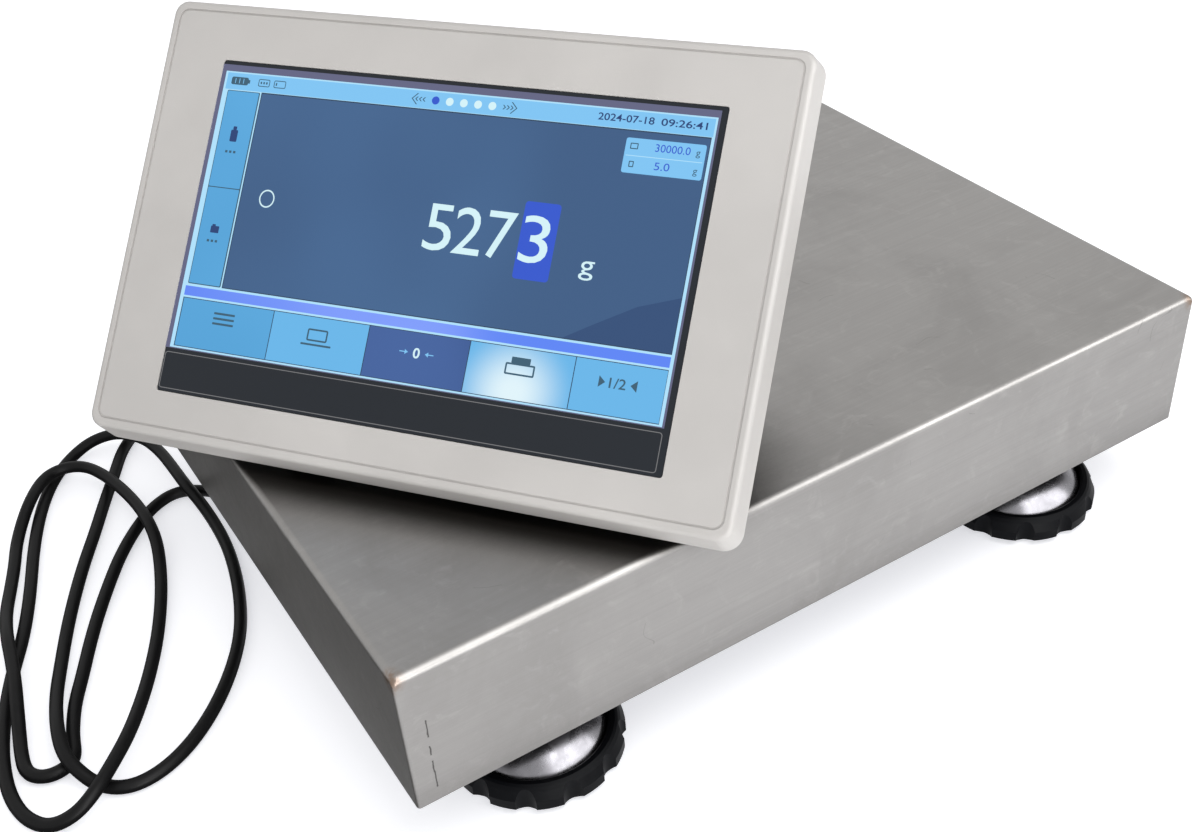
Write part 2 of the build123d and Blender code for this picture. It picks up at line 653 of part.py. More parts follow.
def tube(points, radius, name):
    """A round tube of straight runs joined by tangent arcs."""
    radii = bend_radii(points)
    path = FilletPolyline(*points, radius=radii)
    start = Vector(*points[0])
    section = Plane(origin=start, z_dir=Vector(*points[1]) - start) * Circle(radius)
    shape = sweep(section, path=path)
    runs = [(Vector(*b) - Vector(*a)).length for a, b in zip(points, points[1:])]
    ideal = pi * radius ** 2 * path.length
    print(f"{name}: length {path.length:.1f}, volume ratio {shape.volume / ideal:.4f}, "
          f"runs {min(runs):.1f} to {max(runs):.1f}")
    print(f"{name} radii: " + " ".join(f"{r:.0f}" for r in radii))
    return shape


def cell_lead():
    """The load cell's own lead, from its sealed side down through the plate to the gland."""
    start = MID_Y + CELL_WIDTH / 2
    x, y = LEAD_HOLE_X, LEAD_HOLE_Y
    points = [
        (x, start, CELL_TOP - 11.0), (x, start + 14.0, CELL_TOP - 11.0), (x, y - 3.0, CELL_TOP - 20.0),
        (x, y, PLATE_BOTTOM + 1.0), (x - 6.0, GLAND_Y - 4.0, GLAND_Z + 2.0), (x - 17.0, GLAND_Y, GLAND_Z),
        (GLAND_INNER, GLAND_Y, GLAND_Z)]
    return tube(points, LEAD_RADIUS, "cell lead")


def face_plan(left, bottom, right, top, corner):
    """A rounded rectangle in the indicator's own axes."""
    return Pos((left + right) / 2, (bottom + top) / 2) * RectangleRounded(right - left, top - bottom, corner)


def prism(plan, back, front):
    """Extrude a plan in the indicator's own axes between two depths."""
    return Pos(0, 0, back) * extrude(plan, front - back)


def face_disc(u, v, back, front, radius):
    """A cylinder along the indicator's own outward axis."""
    return Pos(u, v, (back + front) / 2) * Cylinder(radius, front - back)


def case_screw_places():
    """Six places for the screws that close the indicator's case."""
    columns = (CASE_SCREW_INSET_X, BEZEL_WIDTH / 2, BEZEL_WIDTH - CASE_SCREW_INSET_X)
    rows = (CASE_SCREW_INSET_BOTTOM, BEZEL_HEIGHT - CASE_SCREW_INSET_TOP)
    return [(u, v) for u in columns for v in rows]


def bezel_outline(grow, back):
    """The flared body of the bezel, grown or shrunk, from its front face to a depth."""
    share = -back / BEZEL_DEPTH
    front = face_plan(-grow, -grow, BEZEL_WIDTH + grow, BEZEL_HEIGHT + grow, max(BEZEL_CORNER + grow, 1.0))
    side, low = BEZEL_FLARE * share + grow, BEZEL_FLARE_BOTTOM * share + grow
    rear = face_plan(-side, -low, BEZEL_WIDTH + side, BEZEL_HEIGHT + side, max(BEZEL_CORNER + side, 1.0))
    return loft([front, Pos(0, 0, back) * rear])


def bezel():
    """Front frame of the indicator with its flared rim, face groove, window ledge and screw bosses."""
    body = bezel_outline(0, -BEZEL_DEPTH)
    body = fillet(body.faces().sort_by(Axis.Z)[-1].edges(), BEZEL_EDGE)
    inside = bezel_outline(-BEZEL_WALL, -BEZEL_DEPTH)
    body -= inside & box((-20, -20, -BEZEL_DEPTH), (BEZEL_WIDTH + 20, BEZEL_HEIGHT + 20, -BEZEL_FACE))
    g = FACE_GROOVE_INSET
    outer = face_plan(g, g, BEZEL_WIDTH - g, BEZEL_HEIGHT - g, BEZEL_CORNER - 1.5)
    g += FACE_GROOVE_WIDTH
    inner = face_plan(g, g, BEZEL_WIDTH - g, BEZEL_HEIGHT - g, BEZEL_CORNER - 2.2)
    body -= prism(outer - inner, -FACE_GROOVE_DEPTH, 0.0)
    f = GLASS_FIT
    left, right = GLASS_LEFT - f, GLASS_LEFT + GLASS_WIDTH + f
    bottom, top = GLASS_BOTTOM - f, GLASS_BOTTOM + GLASS_HEIGHT + f
    body -= prism(face_plan(left, bottom, right, top, 1.2), -GLASS_RECESS - GLASS_THICKNESS, 0.0)
    s = GLASS_LEDGE + f
    body -= prism(face_plan(left + s, bottom + s, right - s, top - s, 1.0), -BEZEL_FACE, 0.0)
    for u, v in case_screw_places():
        boss = face_disc(u, v, -BEZEL_DEPTH, -BEZEL_FACE, CASE_BOSS_RADIUS)
        body += boss - face_disc(u, v, -BEZEL_DEPTH, -BEZEL_FACE - 2.0, CASE_SCREW_RADIUS + SEAT_CLEARANCE)
    return body


def glass_panel():
    """Touch glass that covers the display and the strip under it."""
    plan = face_plan(GLASS_LEFT, GLASS_BOTTOM, GLASS_LEFT + GLASS_WIDTH, GLASS_BOTTOM + GLASS_HEIGHT, 1.0)
    return prism(plan, -GLASS_RECESS - GLASS_THICKNESS, -GLASS_RECESS)


def lcd_corners(border):
    """The display's left, bottom, right and top, with a border round its lit area."""
    left = (BEZEL_WIDTH - LCD_WIDTH) / 2 - border
    bottom = GLASS_BOTTOM + LCD_BOTTOM - border
    return left, bottom, left + LCD_WIDTH + 2 * border, bottom + LCD_HEIGHT + 2 * border


def lcd_module():
    """Display module behind the glass."""
    left, bottom, right, top = lcd_corners(LCD_BORDER)
    return prism(face_plan(left, bottom, right, top, 1.0), -BEZEL_FACE - LCD_THICKNESS, -BEZEL_FACE)


def display_frame():
    """Sheet frame that holds the display to the bezel's bosses."""
    back = -BEZEL_FACE - LCD_THICKNESS - FRAME_SHEET
    left, bottom, right, top = lcd_corners(LCD_BORDER)
    m = FRAME_OVERLAP
    plan = face_plan(left - m, bottom - m, right + m, top + m, 2.0)
    plan -= face_plan(left + 2 * m, bottom + 2 * m, right - 2 * m, top - 2 * m, 4.0)
    for u, v in case_screw_places():
        plan -= Pos(u, v) * Circle(CASE_BOSS_RADIUS + HOLE_CLEARANCE)
    frame = prism(plan, back, back + FRAME_SHEET)
    rim = face_plan(left - 1.4, bottom - 1.4, right + 1.4, top + 1.4, 1.5) \
        - face_plan(left - 0.4, bottom - 0.4, right + 0.4, top + 0.4, 1.2)
    return frame + prism(rim, back, -BEZEL_FACE)


def cover_solid(shrink, back):
    """The rear cover's outline, with a bottom that slopes clear of the pan."""
    side, side_back = COVER_INSET + shrink - BEZEL_FLARE, COVER_INSET_BACK + shrink
    front = face_plan(side, COVER_BOTTOM + shrink, BEZEL_WIDTH - side, BEZEL_HEIGHT - side, COVER_CORNER)
    rear = face_plan(side_back, COVER_BOTTOM_BACK + shrink, BEZEL_WIDTH - side_back,
                     BEZEL_HEIGHT - side_back, COVER_CORNER)
    return loft([Pos(0, 0, COVER_FRONT) * front, Pos(0, 0, back) * rear])


def battery_left():
    """Left edge of the battery, which sits in the middle of the case."""
    return (BEZEL_WIDTH - BATTERY_WIDTH) / 2


def rear_cover():
    """Rear shell: vents, screw wells, battery door recess, connector holes and stand lugs."""
    shell = cover_solid(0, COVER_BACK)
    shell = fillet(shell.faces().sort_by(Axis.Z)[0].edges(), COVER_EDGE)
    shell -= cover_solid(COVER_WALL, COVER_BACK + COVER_WALL)
    floor = COVER_BACK + COVER_WALL
    for u, v in case_screw_places():
        shell += face_disc(u, v, floor - 0.5, COVER_FRONT, CASE_BOSS_RADIUS)
        shell -= face_disc(u, v, COVER_BACK, COVER_FRONT, CASE_SCREW_RADIUS + HOLE_CLEARANCE)
        shell -= face_disc(u, v, COVER_BACK, COVER_BACK + CASE_HEAD_HEIGHT + 0.5, CASE_HEAD_RADIUS + HOLE_CLEARANCE)
    for column in (-1, 1):
        middle = BEZEL_WIDTH / 2 + column * (VENT_LENGTH + VENT_COLUMN_GAP) / 2
        for i in range(VENT_COUNT):
            slot = Pos(middle, VENT_BOTTOM + i * VENT_PITCH) * SlotOverall(VENT_LENGTH, VENT_WIDTH)
            shell -= prism(slot, COVER_BACK, floor)
    for u, v in board_post_places():
        shell += face_disc(u, v, floor - 0.5, floor + BOARD_BACK_GAP, BOARD_POST_RADIUS)
    left, right, low, high = door_corners()
    f = DOOR_FIT
    shell -= prism(face_plan(left - f, low - f, right + f, high + f, 3.0), COVER_BACK, COVER_BACK + DOOR_THICKNESS)
    s = DOOR_LIP
    shell -= prism(face_plan(left + s, low + s, right - s, high - 4 * s, 2.0), COVER_BACK, floor)
    shell -= face_disc((left + right) / 2, high - 2 * s, COVER_BACK, floor, CASE_SCREW_RADIUS + SEAT_CLEARANCE)
    shell -= face_disc(SOCKET_U, SOCKET_V, COVER_BACK, floor, SOCKET_RADIUS + SEAT_CLEARANCE)
    shell -= face_disc(JACK_U, JACK_V, COVER_BACK, floor, JACK_RADIUS + SEAT_CLEARANCE)
    shell -= prism(Pos(PORT_U, PORT_V) * Rectangle(PORT_WIDTH + 0.4, PORT_HEIGHT + 0.4), COVER_BACK, floor)
    shell -= face_disc(BUTTON_U, BUTTON_V, COVER_BACK, floor, BUTTON_RADIUS + BUTTON_FIT)
    for side in (-1, 1):
        near = BEZEL_WIDTH / 2 + side * (STAND_WIDTH / 2 + LUG_GAP)
        far = near + side * LUG_THICKNESS
        r = STAND_BARREL_RADIUS
        eye = Pos((near + far) / 2, STAND_V, HINGE_Z) * Rot(0, 90, 0)
        lug = box((min(near, far), STAND_V - r, HINGE_Z), (max(near, far), STAND_V + r, COVER_BACK))
        lug += eye * Cylinder(r, LUG_THICKNESS)
        shell += lug - eye * Cylinder(PIN_RADIUS + SEAT_CLEARANCE, LUG_THICKNESS)
    return shell


def door_corners():
    """The battery door's left, right, bottom and top."""
    m = BATTERY_DOOR_MARGIN
    left = battery_left() + m
    return left, left + BATTERY_WIDTH - 2 * m, BATTERY_BOTTOM + 2.0, BATTERY_BOTTOM + BATTERY_HEIGHT + 2.0


def battery_door():
    """Flush door over the battery, with the hole for its screw."""
    left, right, low, high = door_corners()
    door = prism(face_plan(left, low, right, high, 2.6), COVER_BACK, COVER_BACK + DOOR_THICKNESS)
    u, v = (left + right) / 2, high - 2 * DOOR_LIP
    door -= face_disc(u, v, COVER_BACK, COVER_BACK + DOOR_THICKNESS, CASE_SCREW_RADIUS + HOLE_CLEARANCE)
    return door - face_disc(u, v, COVER_BACK, COVER_BACK + DOOR_THICKNESS / 2, CASE_HEAD_RADIUS + HOLE_CLEARANCE)


def small_screw(u, v, head_back, tip):
    """Pan head screw driven along the indicator's outward axis."""
    head = face_disc(u, v, head_back, head_back + CASE_HEAD_HEIGHT, CASE_HEAD_RADIUS)
    shank = face_disc(u, v, head_back + CASE_HEAD_HEIGHT, tip, CASE_SCREW_RADIUS)
    cross = box((u - 1.6, v - 0.35, head_back), (u + 1.6, v + 0.35, head_back + 0.9))
    cross += box((u - 0.35, v - 1.6, head_back), (u + 0.35, v + 1.6, head_back + 0.9))
    return head + shank - cross


def case_screws():
    """Six screws from the back that hold the two halves of the case."""
    return [small_screw(u, v, COVER_BACK + 0.5, -BEZEL_FACE - 3.0) for u, v in case_screw_places()]


def battery_door_screw():
    """Screw that holds the battery door."""
    left, right, low, high = door_corners()
    head_back = COVER_BACK + DOOR_THICKNESS / 2 - CASE_HEAD_HEIGHT
    return small_screw((left + right) / 2, high - 2 * DOOR_LIP, head_back, COVER_BACK + COVER_WALL)


def board_corner():
    """The circuit board's lower left corner."""
    return (BEZEL_WIDTH - BOARD_WIDTH) / 2, BATTERY_BOTTOM + BATTERY_HEIGHT + BOARD_BATTERY_GAP


def board_post_places():
    """Where the rear cover's posts carry the circuit board."""
    left, low = board_corner()
    m = BOARD_POST_INSET
    return [(u, v) for u in (left + m, left + BOARD_WIDTH - m) for v in (low + m, low + BOARD_HEIGHT - m)]


def main_board():
    """Circuit board with its processor block and two connector headers."""
    left, low = board_corner()
    back = COVER_BACK + COVER_WALL + BOARD_BACK_GAP
    front = back + BOARD_THICKNESS
    board = box((left, low, back), (left + BOARD_WIDTH, low + BOARD_HEIGHT, front))
    for near, bottom, far, top, height in BOARD_BLOCKS:
        board += box((left + near, low + bottom, back - height), (left + far, low + top, back))
    return board


def battery_pack():
    """Flat rechargeable pack behind its door."""
    left = battery_left()
    back = COVER_BACK + COVER_WALL + 0.3
    pack = box((left, BATTERY_BOTTOM, back), (left + BATTERY_WIDTH, BATTERY_BOTTOM + BATTERY_HEIGHT,
                                              back + BATTERY_THICKNESS))
    return fillet(pack.edges().filter_by(Axis.X), 3.0)


def indicator_feet():
    """Two rubber feet under the indicator's lower edge, cut to fit the case."""
    case = on_face(bezel_outline(0, -BEZEL_DEPTH)) + on_face(cover_solid(0, COVER_BACK))
    shapes = []
    origin = Vector(IND_X, IND_Y, PAN_TOP)
    direction = Plane(origin=origin, x_dir=ACROSS, z_dir=(0, 0, 1))
    for side in (-1, 1):
        u = BEZEL_WIDTH / 2 + side * INDICATOR_FOOT_SPREAD / 2
        back = INDICATOR_FOOT_SET_BACK
        block = box((u - INDICATOR_FOOT_LENGTH / 2, back, 0),
                    (u + INDICATOR_FOOT_LENGTH / 2, back + INDICATOR_FOOT_DEPTH, IND_RISE))
        trimmed = (direction.location * block - case).solids().sort_by(Axis.Z)[0]
        shapes.append(trimmed)
    return shapes


def top_clips():
    """Two thin latch tabs that show along the top of the case."""
    shapes = []
    for u in CLIP_CENTRES:
        top = BEZEL_HEIGHT + BEZEL_FLARE + CLIP_PROUD
        low = BEZEL_HEIGHT - COVER_INSET + BEZEL_FLARE + 0.2
        shapes.append(box((u - CLIP_WIDTH / 2, low, COVER_FRONT - CLIP_THICKNESS),
                          (u + CLIP_WIDTH / 2, top, COVER_FRONT)))
    return shapes


def signal_socket():
    """Round panel socket for the load cell's cord."""
    tail = face_disc(SOCKET_U, SOCKET_V, COVER_BACK, COVER_BACK + COVER_WALL + SOCKET_TAIL - 2.0, SOCKET_RADIUS)
    stub = face_disc(SOCKET_U, SOCKET_V, COVER_BACK - SOCKET_LENGTH, COVER_BACK, SOCKET_RADIUS)
    stub -= face_disc(SOCKET_U, SOCKET_V, COVER_BACK - SOCKET_LENGTH, COVER_BACK - 1.0, SOCKET_RADIUS - 1.2)
    return tail + stub


def socket_nut():
    """Round nut that clamps the socket to the rear cover."""
    ring = face_disc(SOCKET_U, SOCKET_V, COVER_BACK - SOCKET_FLANGE_THICKNESS, COVER_BACK, SOCKET_FLANGE_RADIUS)
    return ring - face_disc(SOCKET_U, SOCKET_V, COVER_BACK - SOCKET_FLANGE_THICKNESS, COVER_BACK,
                            SOCKET_RADIUS + SEAT_CLEARANCE)


PLUG_FRONT = COVER_BACK - SOCKET_FLANGE_THICKNESS - PLUG_CLEARANCE
PLUG_RING_BACK = PLUG_FRONT - PLUG_RING_LENGTH
PLUG_SHELL_BACK = PLUG_RING_BACK - PLUG_SHELL_LENGTH
PLUG_BOOT_BACK = PLUG_SHELL_BACK - PLUG_BOOT_LENGTH


def plug():
    """The cord's plug: a coupling ring, a shell and a tapered boot."""
    ring = face_disc(SOCKET_U, SOCKET_V, PLUG_RING_BACK, PLUG_FRONT, PLUG_RING_RADIUS)
    for place in PolarLocations(PLUG_RING_RADIUS + 0.9, 16):
        ring -= Pos(SOCKET_U, SOCKET_V, (PLUG_RING_BACK + PLUG_FRONT) / 2) * place \
            * Cylinder(1.3, PLUG_RING_LENGTH * 0.72)
    hollow = COVER_BACK - SOCKET_LENGTH - PLUG_CLEARANCE
    ring -= face_disc(SOCKET_U, SOCKET_V, hollow, PLUG_FRONT, SOCKET_RADIUS + PLUG_CLEARANCE)
    shell = face_disc(SOCKET_U, SOCKET_V, PLUG_SHELL_BACK, PLUG_RING_BACK, PLUG_SHELL_RADIUS)
    shell = fillet(shell.faces().sort_by(Axis.Z)[0].edges(), 1.0)
    boot = Pos(SOCKET_U, SOCKET_V, PLUG_BOOT_BACK) * extrude(
        Circle(PLUG_BOOT_TIP_RADIUS), PLUG_BOOT_LENGTH,
        taper=-Vector(PLUG_BOOT_RADIUS - PLUG_BOOT_TIP_RADIUS, PLUG_BOOT_LENGTH, 0).get_angle(Vector(0, 1, 0)))
    return ring, shell, boot


def dc_jack():
    """Barrel socket for the charger."""
    back = COVER_BACK
    jack = face_disc(JACK_U, JACK_V, back, back + JACK_DEPTH, JACK_RADIUS)
    floor = back + JACK_DEPTH - JACK_FLOOR
    jack += face_disc(JACK_U, JACK_V, back - JACK_LIP, back, JACK_RADIUS + JACK_LIP_WIDTH)
    jack -= face_disc(JACK_U, JACK_V, back - JACK_LIP, floor, JACK_BORE_RADIUS)
    return jack + face_disc(JACK_U, JACK_V, back, floor, JACK_PIN_RADIUS)


def serial_port():
    """Data port: a shell with its hexagon posts."""
    back = COVER_BACK
    port = prism(Pos(PORT_U, PORT_V) * Rectangle(PORT_WIDTH, PORT_HEIGHT), back, back + PORT_DEPTH)
    middle = Pos(PORT_U, PORT_V)
    port += prism(middle * RectangleRounded(*PORT_SHELL), back - PORT_PROUD, back)
    port -= prism(middle * RectangleRounded(*PORT_MOUTH), back - PORT_PROUD, back - PORT_FLOOR)
    post = extrude(RegularPolygon(PORT_POST_HALF_FLATS, 6, major_radius=False), PORT_POST_HEIGHT)
    for side in (-1, 1):
        port += Pos(PORT_U + side * PORT_POST_SPREAD, PORT_V, back - PORT_POST_HEIGHT) * post
    return port


def power_button():
    """Push button in the rear cover: cap, flange inside the case and switch stem."""
    back = COVER_BACK - BUTTON_PROUD
    inner = COVER_BACK + COVER_WALL
    flange = inner + BUTTON_FLANGE_GAP
    flange_end = flange + BUTTON_FLANGE_THICKNESS
    cap = face_disc(BUTTON_U, BUTTON_V, back, flange, BUTTON_RADIUS)
    cap = fillet(cap.faces().sort_by(Axis.Z)[0].edges(), BUTTON_EDGE)
    cap += face_disc(BUTTON_U, BUTTON_V, flange, flange_end, BUTTON_RADIUS + BUTTON_FLANGE_WIDTH)
    return cap + face_disc(BUTTON_U, BUTTON_V, flange_end, inner + BUTTON_STEM_END, BUTTON_STEM_RADIUS)


def button_switch():
    """Switch body that the power button presses, on a bracket in the case."""
    floor = COVER_BACK + COVER_WALL
    low = floor + BUTTON_STEM_END + BUTTON_TRAVEL + SWITCH_GAP
    top = low + SWITCH_HEIGHT
    body = box((BUTTON_U - SWITCH_HALF, BUTTON_V - SWITCH_HALF, low),
               (BUTTON_U + SWITCH_HALF, BUTTON_V + SWITCH_HALF, top))
    left, right = BUTTON_U - BRACKET_HALF, BUTTON_U + BRACKET_HALF
    for side in (-1, 1):
        near, far = sorted((side * BRACKET_INNER, side * BRACKET_OUTER))
        body += box((left, BUTTON_V + near, floor), (right, BUTTON_V + far, top))
        near, far = sorted((side * SWITCH_HALF, side * BRACKET_OUTER))
        body += box((left, BUTTON_V + near, top - BRACKET_SHEET), (right, BUTTON_V + far, top))
    return body


def open_stand(shape):
    """Turn a shape from the folded stand's place to the open one."""
    hinge = Axis((0, STAND_V, HINGE_Z), (1, 0, 0))
    return on_face(shape.rotate(hinge, STAND_OPEN))


def stand_leg():
    """Flat slotted leg with a hinge barrel, standing open behind the indicator."""
    mid = BEZEL_WIDTH / 2
    half = STAND_WIDTH / 2
    low = STAND_V - STAND_LENGTH
    plan = face_plan(mid - half, low, mid + half, STAND_V, 6.0)
    m = STAND_SLOT_MARGIN
    for i in range(STAND_SLOTS):
        middle = mid + (i - (STAND_SLOTS - 1) / 2) * STAND_SLOT_PITCH
        plan -= face_plan(middle - STAND_SLOT_WIDTH / 2, low + m, middle + STAND_SLOT_WIDTH / 2, STAND_V - m, 5.0)
    leg = prism(plan, HINGE_Z - STAND_THICKNESS / 2, HINGE_Z + STAND_THICKNESS / 2)
    barrel = Pos(mid, STAND_V, HINGE_Z) * Rot(0, 90, 0) * Cylinder(STAND_BARREL_RADIUS, STAND_WIDTH)
    bore = Pos(mid, STAND_V, HINGE_Z) * Rot(0, 90, 0) * Cylinder(PIN_RADIUS + PIN_FIT, STAND_WIDTH)
    leg = open_stand(leg + barrel - bore)
    return leg - box((-300, -300, PAN_TOP - 30), (600, 600, PAN_TOP + TIP_WALL))


def stand_pin():
    """Hinge pin through both lugs and the leg's barrel."""
    length = STAND_WIDTH + 2 * (LUG_GAP + LUG_THICKNESS)
    return Pos(BEZEL_WIDTH / 2, STAND_V, HINGE_Z) * Rot(0, 90, 0) * Cylinder(PIN_RADIUS, length)


def stand_tips():
    """Rubber shoes on the leg's lower corners, flat where they rest on the pan."""
    leg = stand_leg()
    mid = BEZEL_WIDTH / 2
    shapes = []
    for side in (-1, 1):
        u = mid + side * (STAND_WIDTH / 2 - TIP_WIDTH / 2 - 2.0)
        half = STAND_THICKNESS / 2 + TIP_WALL
        shoe = box((u - TIP_WIDTH / 2, STAND_V - STAND_LENGTH - 6.0, HINGE_Z - half),
                   (u + TIP_WIDTH / 2, STAND_V - STAND_LENGTH + TIP_LENGTH, HINGE_Z + half))
        shoe = open_stand(shoe) - leg - box((-300, -300, PAN_TOP - 30), (600, 600, PAN_TOP))
        shapes.append(shoe.solids().sort_by(SortBy.VOLUME)[-1])
    return shapes


def face_point(u, v, depth):
    """A point given in the indicator's own axes, in the bench's."""
    return tuple(FACE.from_local_coords(Vector(u, v, depth)))


def cord_points():
    """The cord's route, from the gland, over the bench in loose loops, to the plug."""
    under_pan = [
        (GLAND_MOUTH, GLAND_Y, GLAND_Z), (82, GLAND_Y, GLAND_Z), (63, 218, 35), (46, 226, 17), (32, 239, 4.5),
        (20, 257, LAY), (9, 273, LAY)]
    first_loop = [
        (-4.5, 282, LAY), (-19, 277, LAY), (-31.5, 265.5, LAY), (-44, 250.5, LAY), (-55, 233.5, LAY),
        (-66, 215, LAY), (-75, 198, LAY), (-83.5, 180.5, LAY), (-90.5, 167, LAY), (-94.5, 156.5, LAY),
        (-97.5, 146.5, LAY), (-99.5, 136, LAY), (-104.5, 132, LAY), (-111, 131.5, LAY), (-116.5, 134.5, LAY),
        (-119.5, 140.5, LAY), (-118.5, 151, LAY), (-116, 162.5, 4.5), (-113, 173, 8.5), (-110, 186, HUMP),
        (-107.5, 202, HUMP), (-105.5, 219, HUMP), (-102, 240, 5.5), (-96, 258, LAY), (-90, 274, LAY),
        (-85, 290, LAY), (-77.5, 303, 6.5), (-70.5, 311, HUMP), (-63, 321.5, HUMP), (-55.5, 327, HUMP),
        (-46, 327, HUMP), (-38, 321, HUMP), (-32.5, 308, HUMP), (-28.5, 291.5, HUMP), (-26, 274.5, HUMP),
        (-25.5, 257, HUMP), (-26.5, 244.5, 7), (-30.5, 230, LAY)]
    second_loop = [
        (-37, 209.5, LAY), (-46, 187, LAY), (-56.5, 166, LAY), (-67, 146, 6), (-77.5, 127, HUMP),
        (-88.5, 115, HUMP), (-98.5, 105, HUMP), (-108.5, 101.5, 7), (-119, 105, LAY), (-126, 115, LAY),
        (-128.5, 130, LAY), (-127, 147, LAY), (-123, 165, LAY), (-116.5, 184, LAY), (-109, 202, LAY),
        (-100, 220, LAY), (-92.5, 239, LAY), (-86, 258, LAY), (-80, 277, LAY), (-73, 296, LAY),
        (-65, 314, LAY), (-55.5, 330, LAY), (-42.5, 344, LAY), (-28.5, 346.5, 7.5), (-15.5, 340.5, HUMP),
        (-6, 328, HUMP), (-2, 311, HUMP), (-1, 292.5, HUMP), (-0.5, 274.5, HUMP), (2, 262.5, 6), (3, 247, LAY)]
    third_loop = [
        (2, 226, LAY), (-1.5, 205, LAY), (-7, 184, LAY), (-15, 163, LAY), (-26.5, 144, LAY), (-41, 126.5, LAY),
        (-57, 113, LAY), (-72.5, 106, LAY), (-86, 106, LAY), (-96, 114.5, LAY), (-101.5, 124, 8.5),
        (-103.5, 134.5, HUMP), (-101.5, 150.5, HUMP), (-97, 171, 7), (-89.5, 193.5, LAY)]
    to_indicator = [
        (-81, 214, LAY), (-71.5, 234.5, LAY), (-61, 255, LAY), (-49.5, 275, LAY), (-38.5, 295.5, LAY),
        (-27, 315.5, LAY), (-17.5, 333, LAY), (-6, 345.5, LAY), (9, 350, LAY), (24, 346.5, 4.5), (37, 340, 13),
        (47, 335, 28), (56, 330, 47), (63, 325, 67), (71, 319, 87), (81, 312, 104), (93, 301, 117),
        (104, 287, 124.5), (112, 271.5, 129), face_point(SOCKET_U, SOCKET_V, PLUG_BOOT_BACK - CORD_LEAD_OUT),
        face_point(SOCKET_U, SOCKET_V, PLUG_BOOT_BACK)]
    return under_pan + first_loop + second_loop + third_loop + to_indicator


def build_nodes():
    """Every sub-part by its node name, in the bench's axes."""
    cup, vial = bubble_level()
    gland_body, gland_cap, gland_nut = cable_gland()
    ring, shell, boot = plug()
    nodes = {
        "pan": pan(), "pan_bumpers": pan_bumpers(), "spider": spider(),
        "spacer_upper": spacer(True), "spacer_lower": spacer(False),
        "cell_screws_upper": cell_screws(True), "cell_screws_lower": cell_screws(False),
        "load_cell": load_cell(), "gauge_potting": gauge_potting(),
        "base_rail_front": base_rail(FOOT_INSET_Y), "base_rail_rear": base_rail(PAN_WIDTH - FOOT_INSET_Y),
        "rail_caps": rail_caps(), "foot_bosses": foot_bosses(), "foot_locknuts": foot_locknuts(),
        "base_plate": base_plate(), "overload_stops": overload_stops(), "stop_locknuts": stop_locknuts(),
        "level_cup": cup, "level_vial": vial,
        "gland_body": gland_body, "gland_cap": gland_cap, "gland_nut": gland_nut, "cell_lead": cell_lead(),
        "cord": tube(cord_points(), CORD_RADIUS, "cord"),
        "plug_ring": on_face(ring), "plug_shell": on_face(shell), "plug_boot": on_face(boot),
        "indicator_feet": indicator_feet(), "stand_leg": stand_leg(), "stand_tips": stand_tips()}
    local = {
        "bezel": bezel(), "glass_panel": glass_panel(), "lcd_module": lcd_module(),
        "display_frame": display_frame(), "rear_cover": rear_cover(), "battery_door": battery_door(),
        "battery_door_screw": battery_door_screw(), "case_screws": case_screws(), "main_board": main_board(),
        "battery_pack": battery_pack(), "top_clips": top_clips(), "signal_socket": signal_socket(),
        "socket_nut": socket_nut(), "dc_jack": dc_jack(), "serial_port": serial_port(),
        "power_button": power_button(), "button_switch": button_switch(), "stand_pin": stand_pin()}
    for name, shape in local.items():
        parts = shape if isinstance(shape, list) else [shape]
        nodes[name] = [on_face(part) for part in parts]
    for number, (x, y) in enumerate(FOOT_PLACES, start=1):
        for kind, shape in (("knob", foot_knob()), ("dome", foot_dome()), ("pad", foot_pad())):
            nodes[f"foot_{number}_{kind}"] = Pos(x, y, 0) * shape
    return nodes


ON_THE_CORD = ("cord", "plug_ring", "plug_shell", "plug_boot")


def main():
    """Build the nodes, centre them on the bench and write one STEP file for each."""
    os.makedirs("parts", exist_ok=True)
    nodes = {}
    for name, shape in build_nodes().items():
        parts = shape if isinstance(shape, list) else [shape]
        nodes[name] = [solid for part in parts for solid in part.solids()]
    boxes = [solid.bounding_box() for name, solids in nodes.items() if name not in ON_THE_CORD for solid in solids]
    low_x, high_x = min(b.min.X for b in boxes), max(b.max.X for b in boxes)
    low_y, high_y = min(b.min.Y for b in boxes), max(b.max.Y for b in boxes)
    shift = Pos(-(low_x + high_x) / 2, -(low_y + high_y) / 2, 0)
    print(f"moved by {shift.position.X:.4f} {shift.position.Y:.4f}")
    hinge = face_point(BEZEL_WIDTH / 2, STAND_V, HINGE_Z)
    print("stand hinge", [round(c, 4) for c in (shift.position + Vector(*hinge))])
    for name, solids in nodes.items():
        placed = [shift * solid for solid in solids]
        export_step(placed[0] if len(placed) == 1 else Compound(children=placed), f"parts/{name}.step")


if __name__ == "__main__":
    main()
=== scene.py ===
"""Looks of a bench scale with a free-standing touch indicator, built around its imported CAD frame."""

import logging
import math
from dataclasses import dataclass, field
from enum import Enum, IntEnum

import bpy
from mathutils import Euler, Matrix, Vector


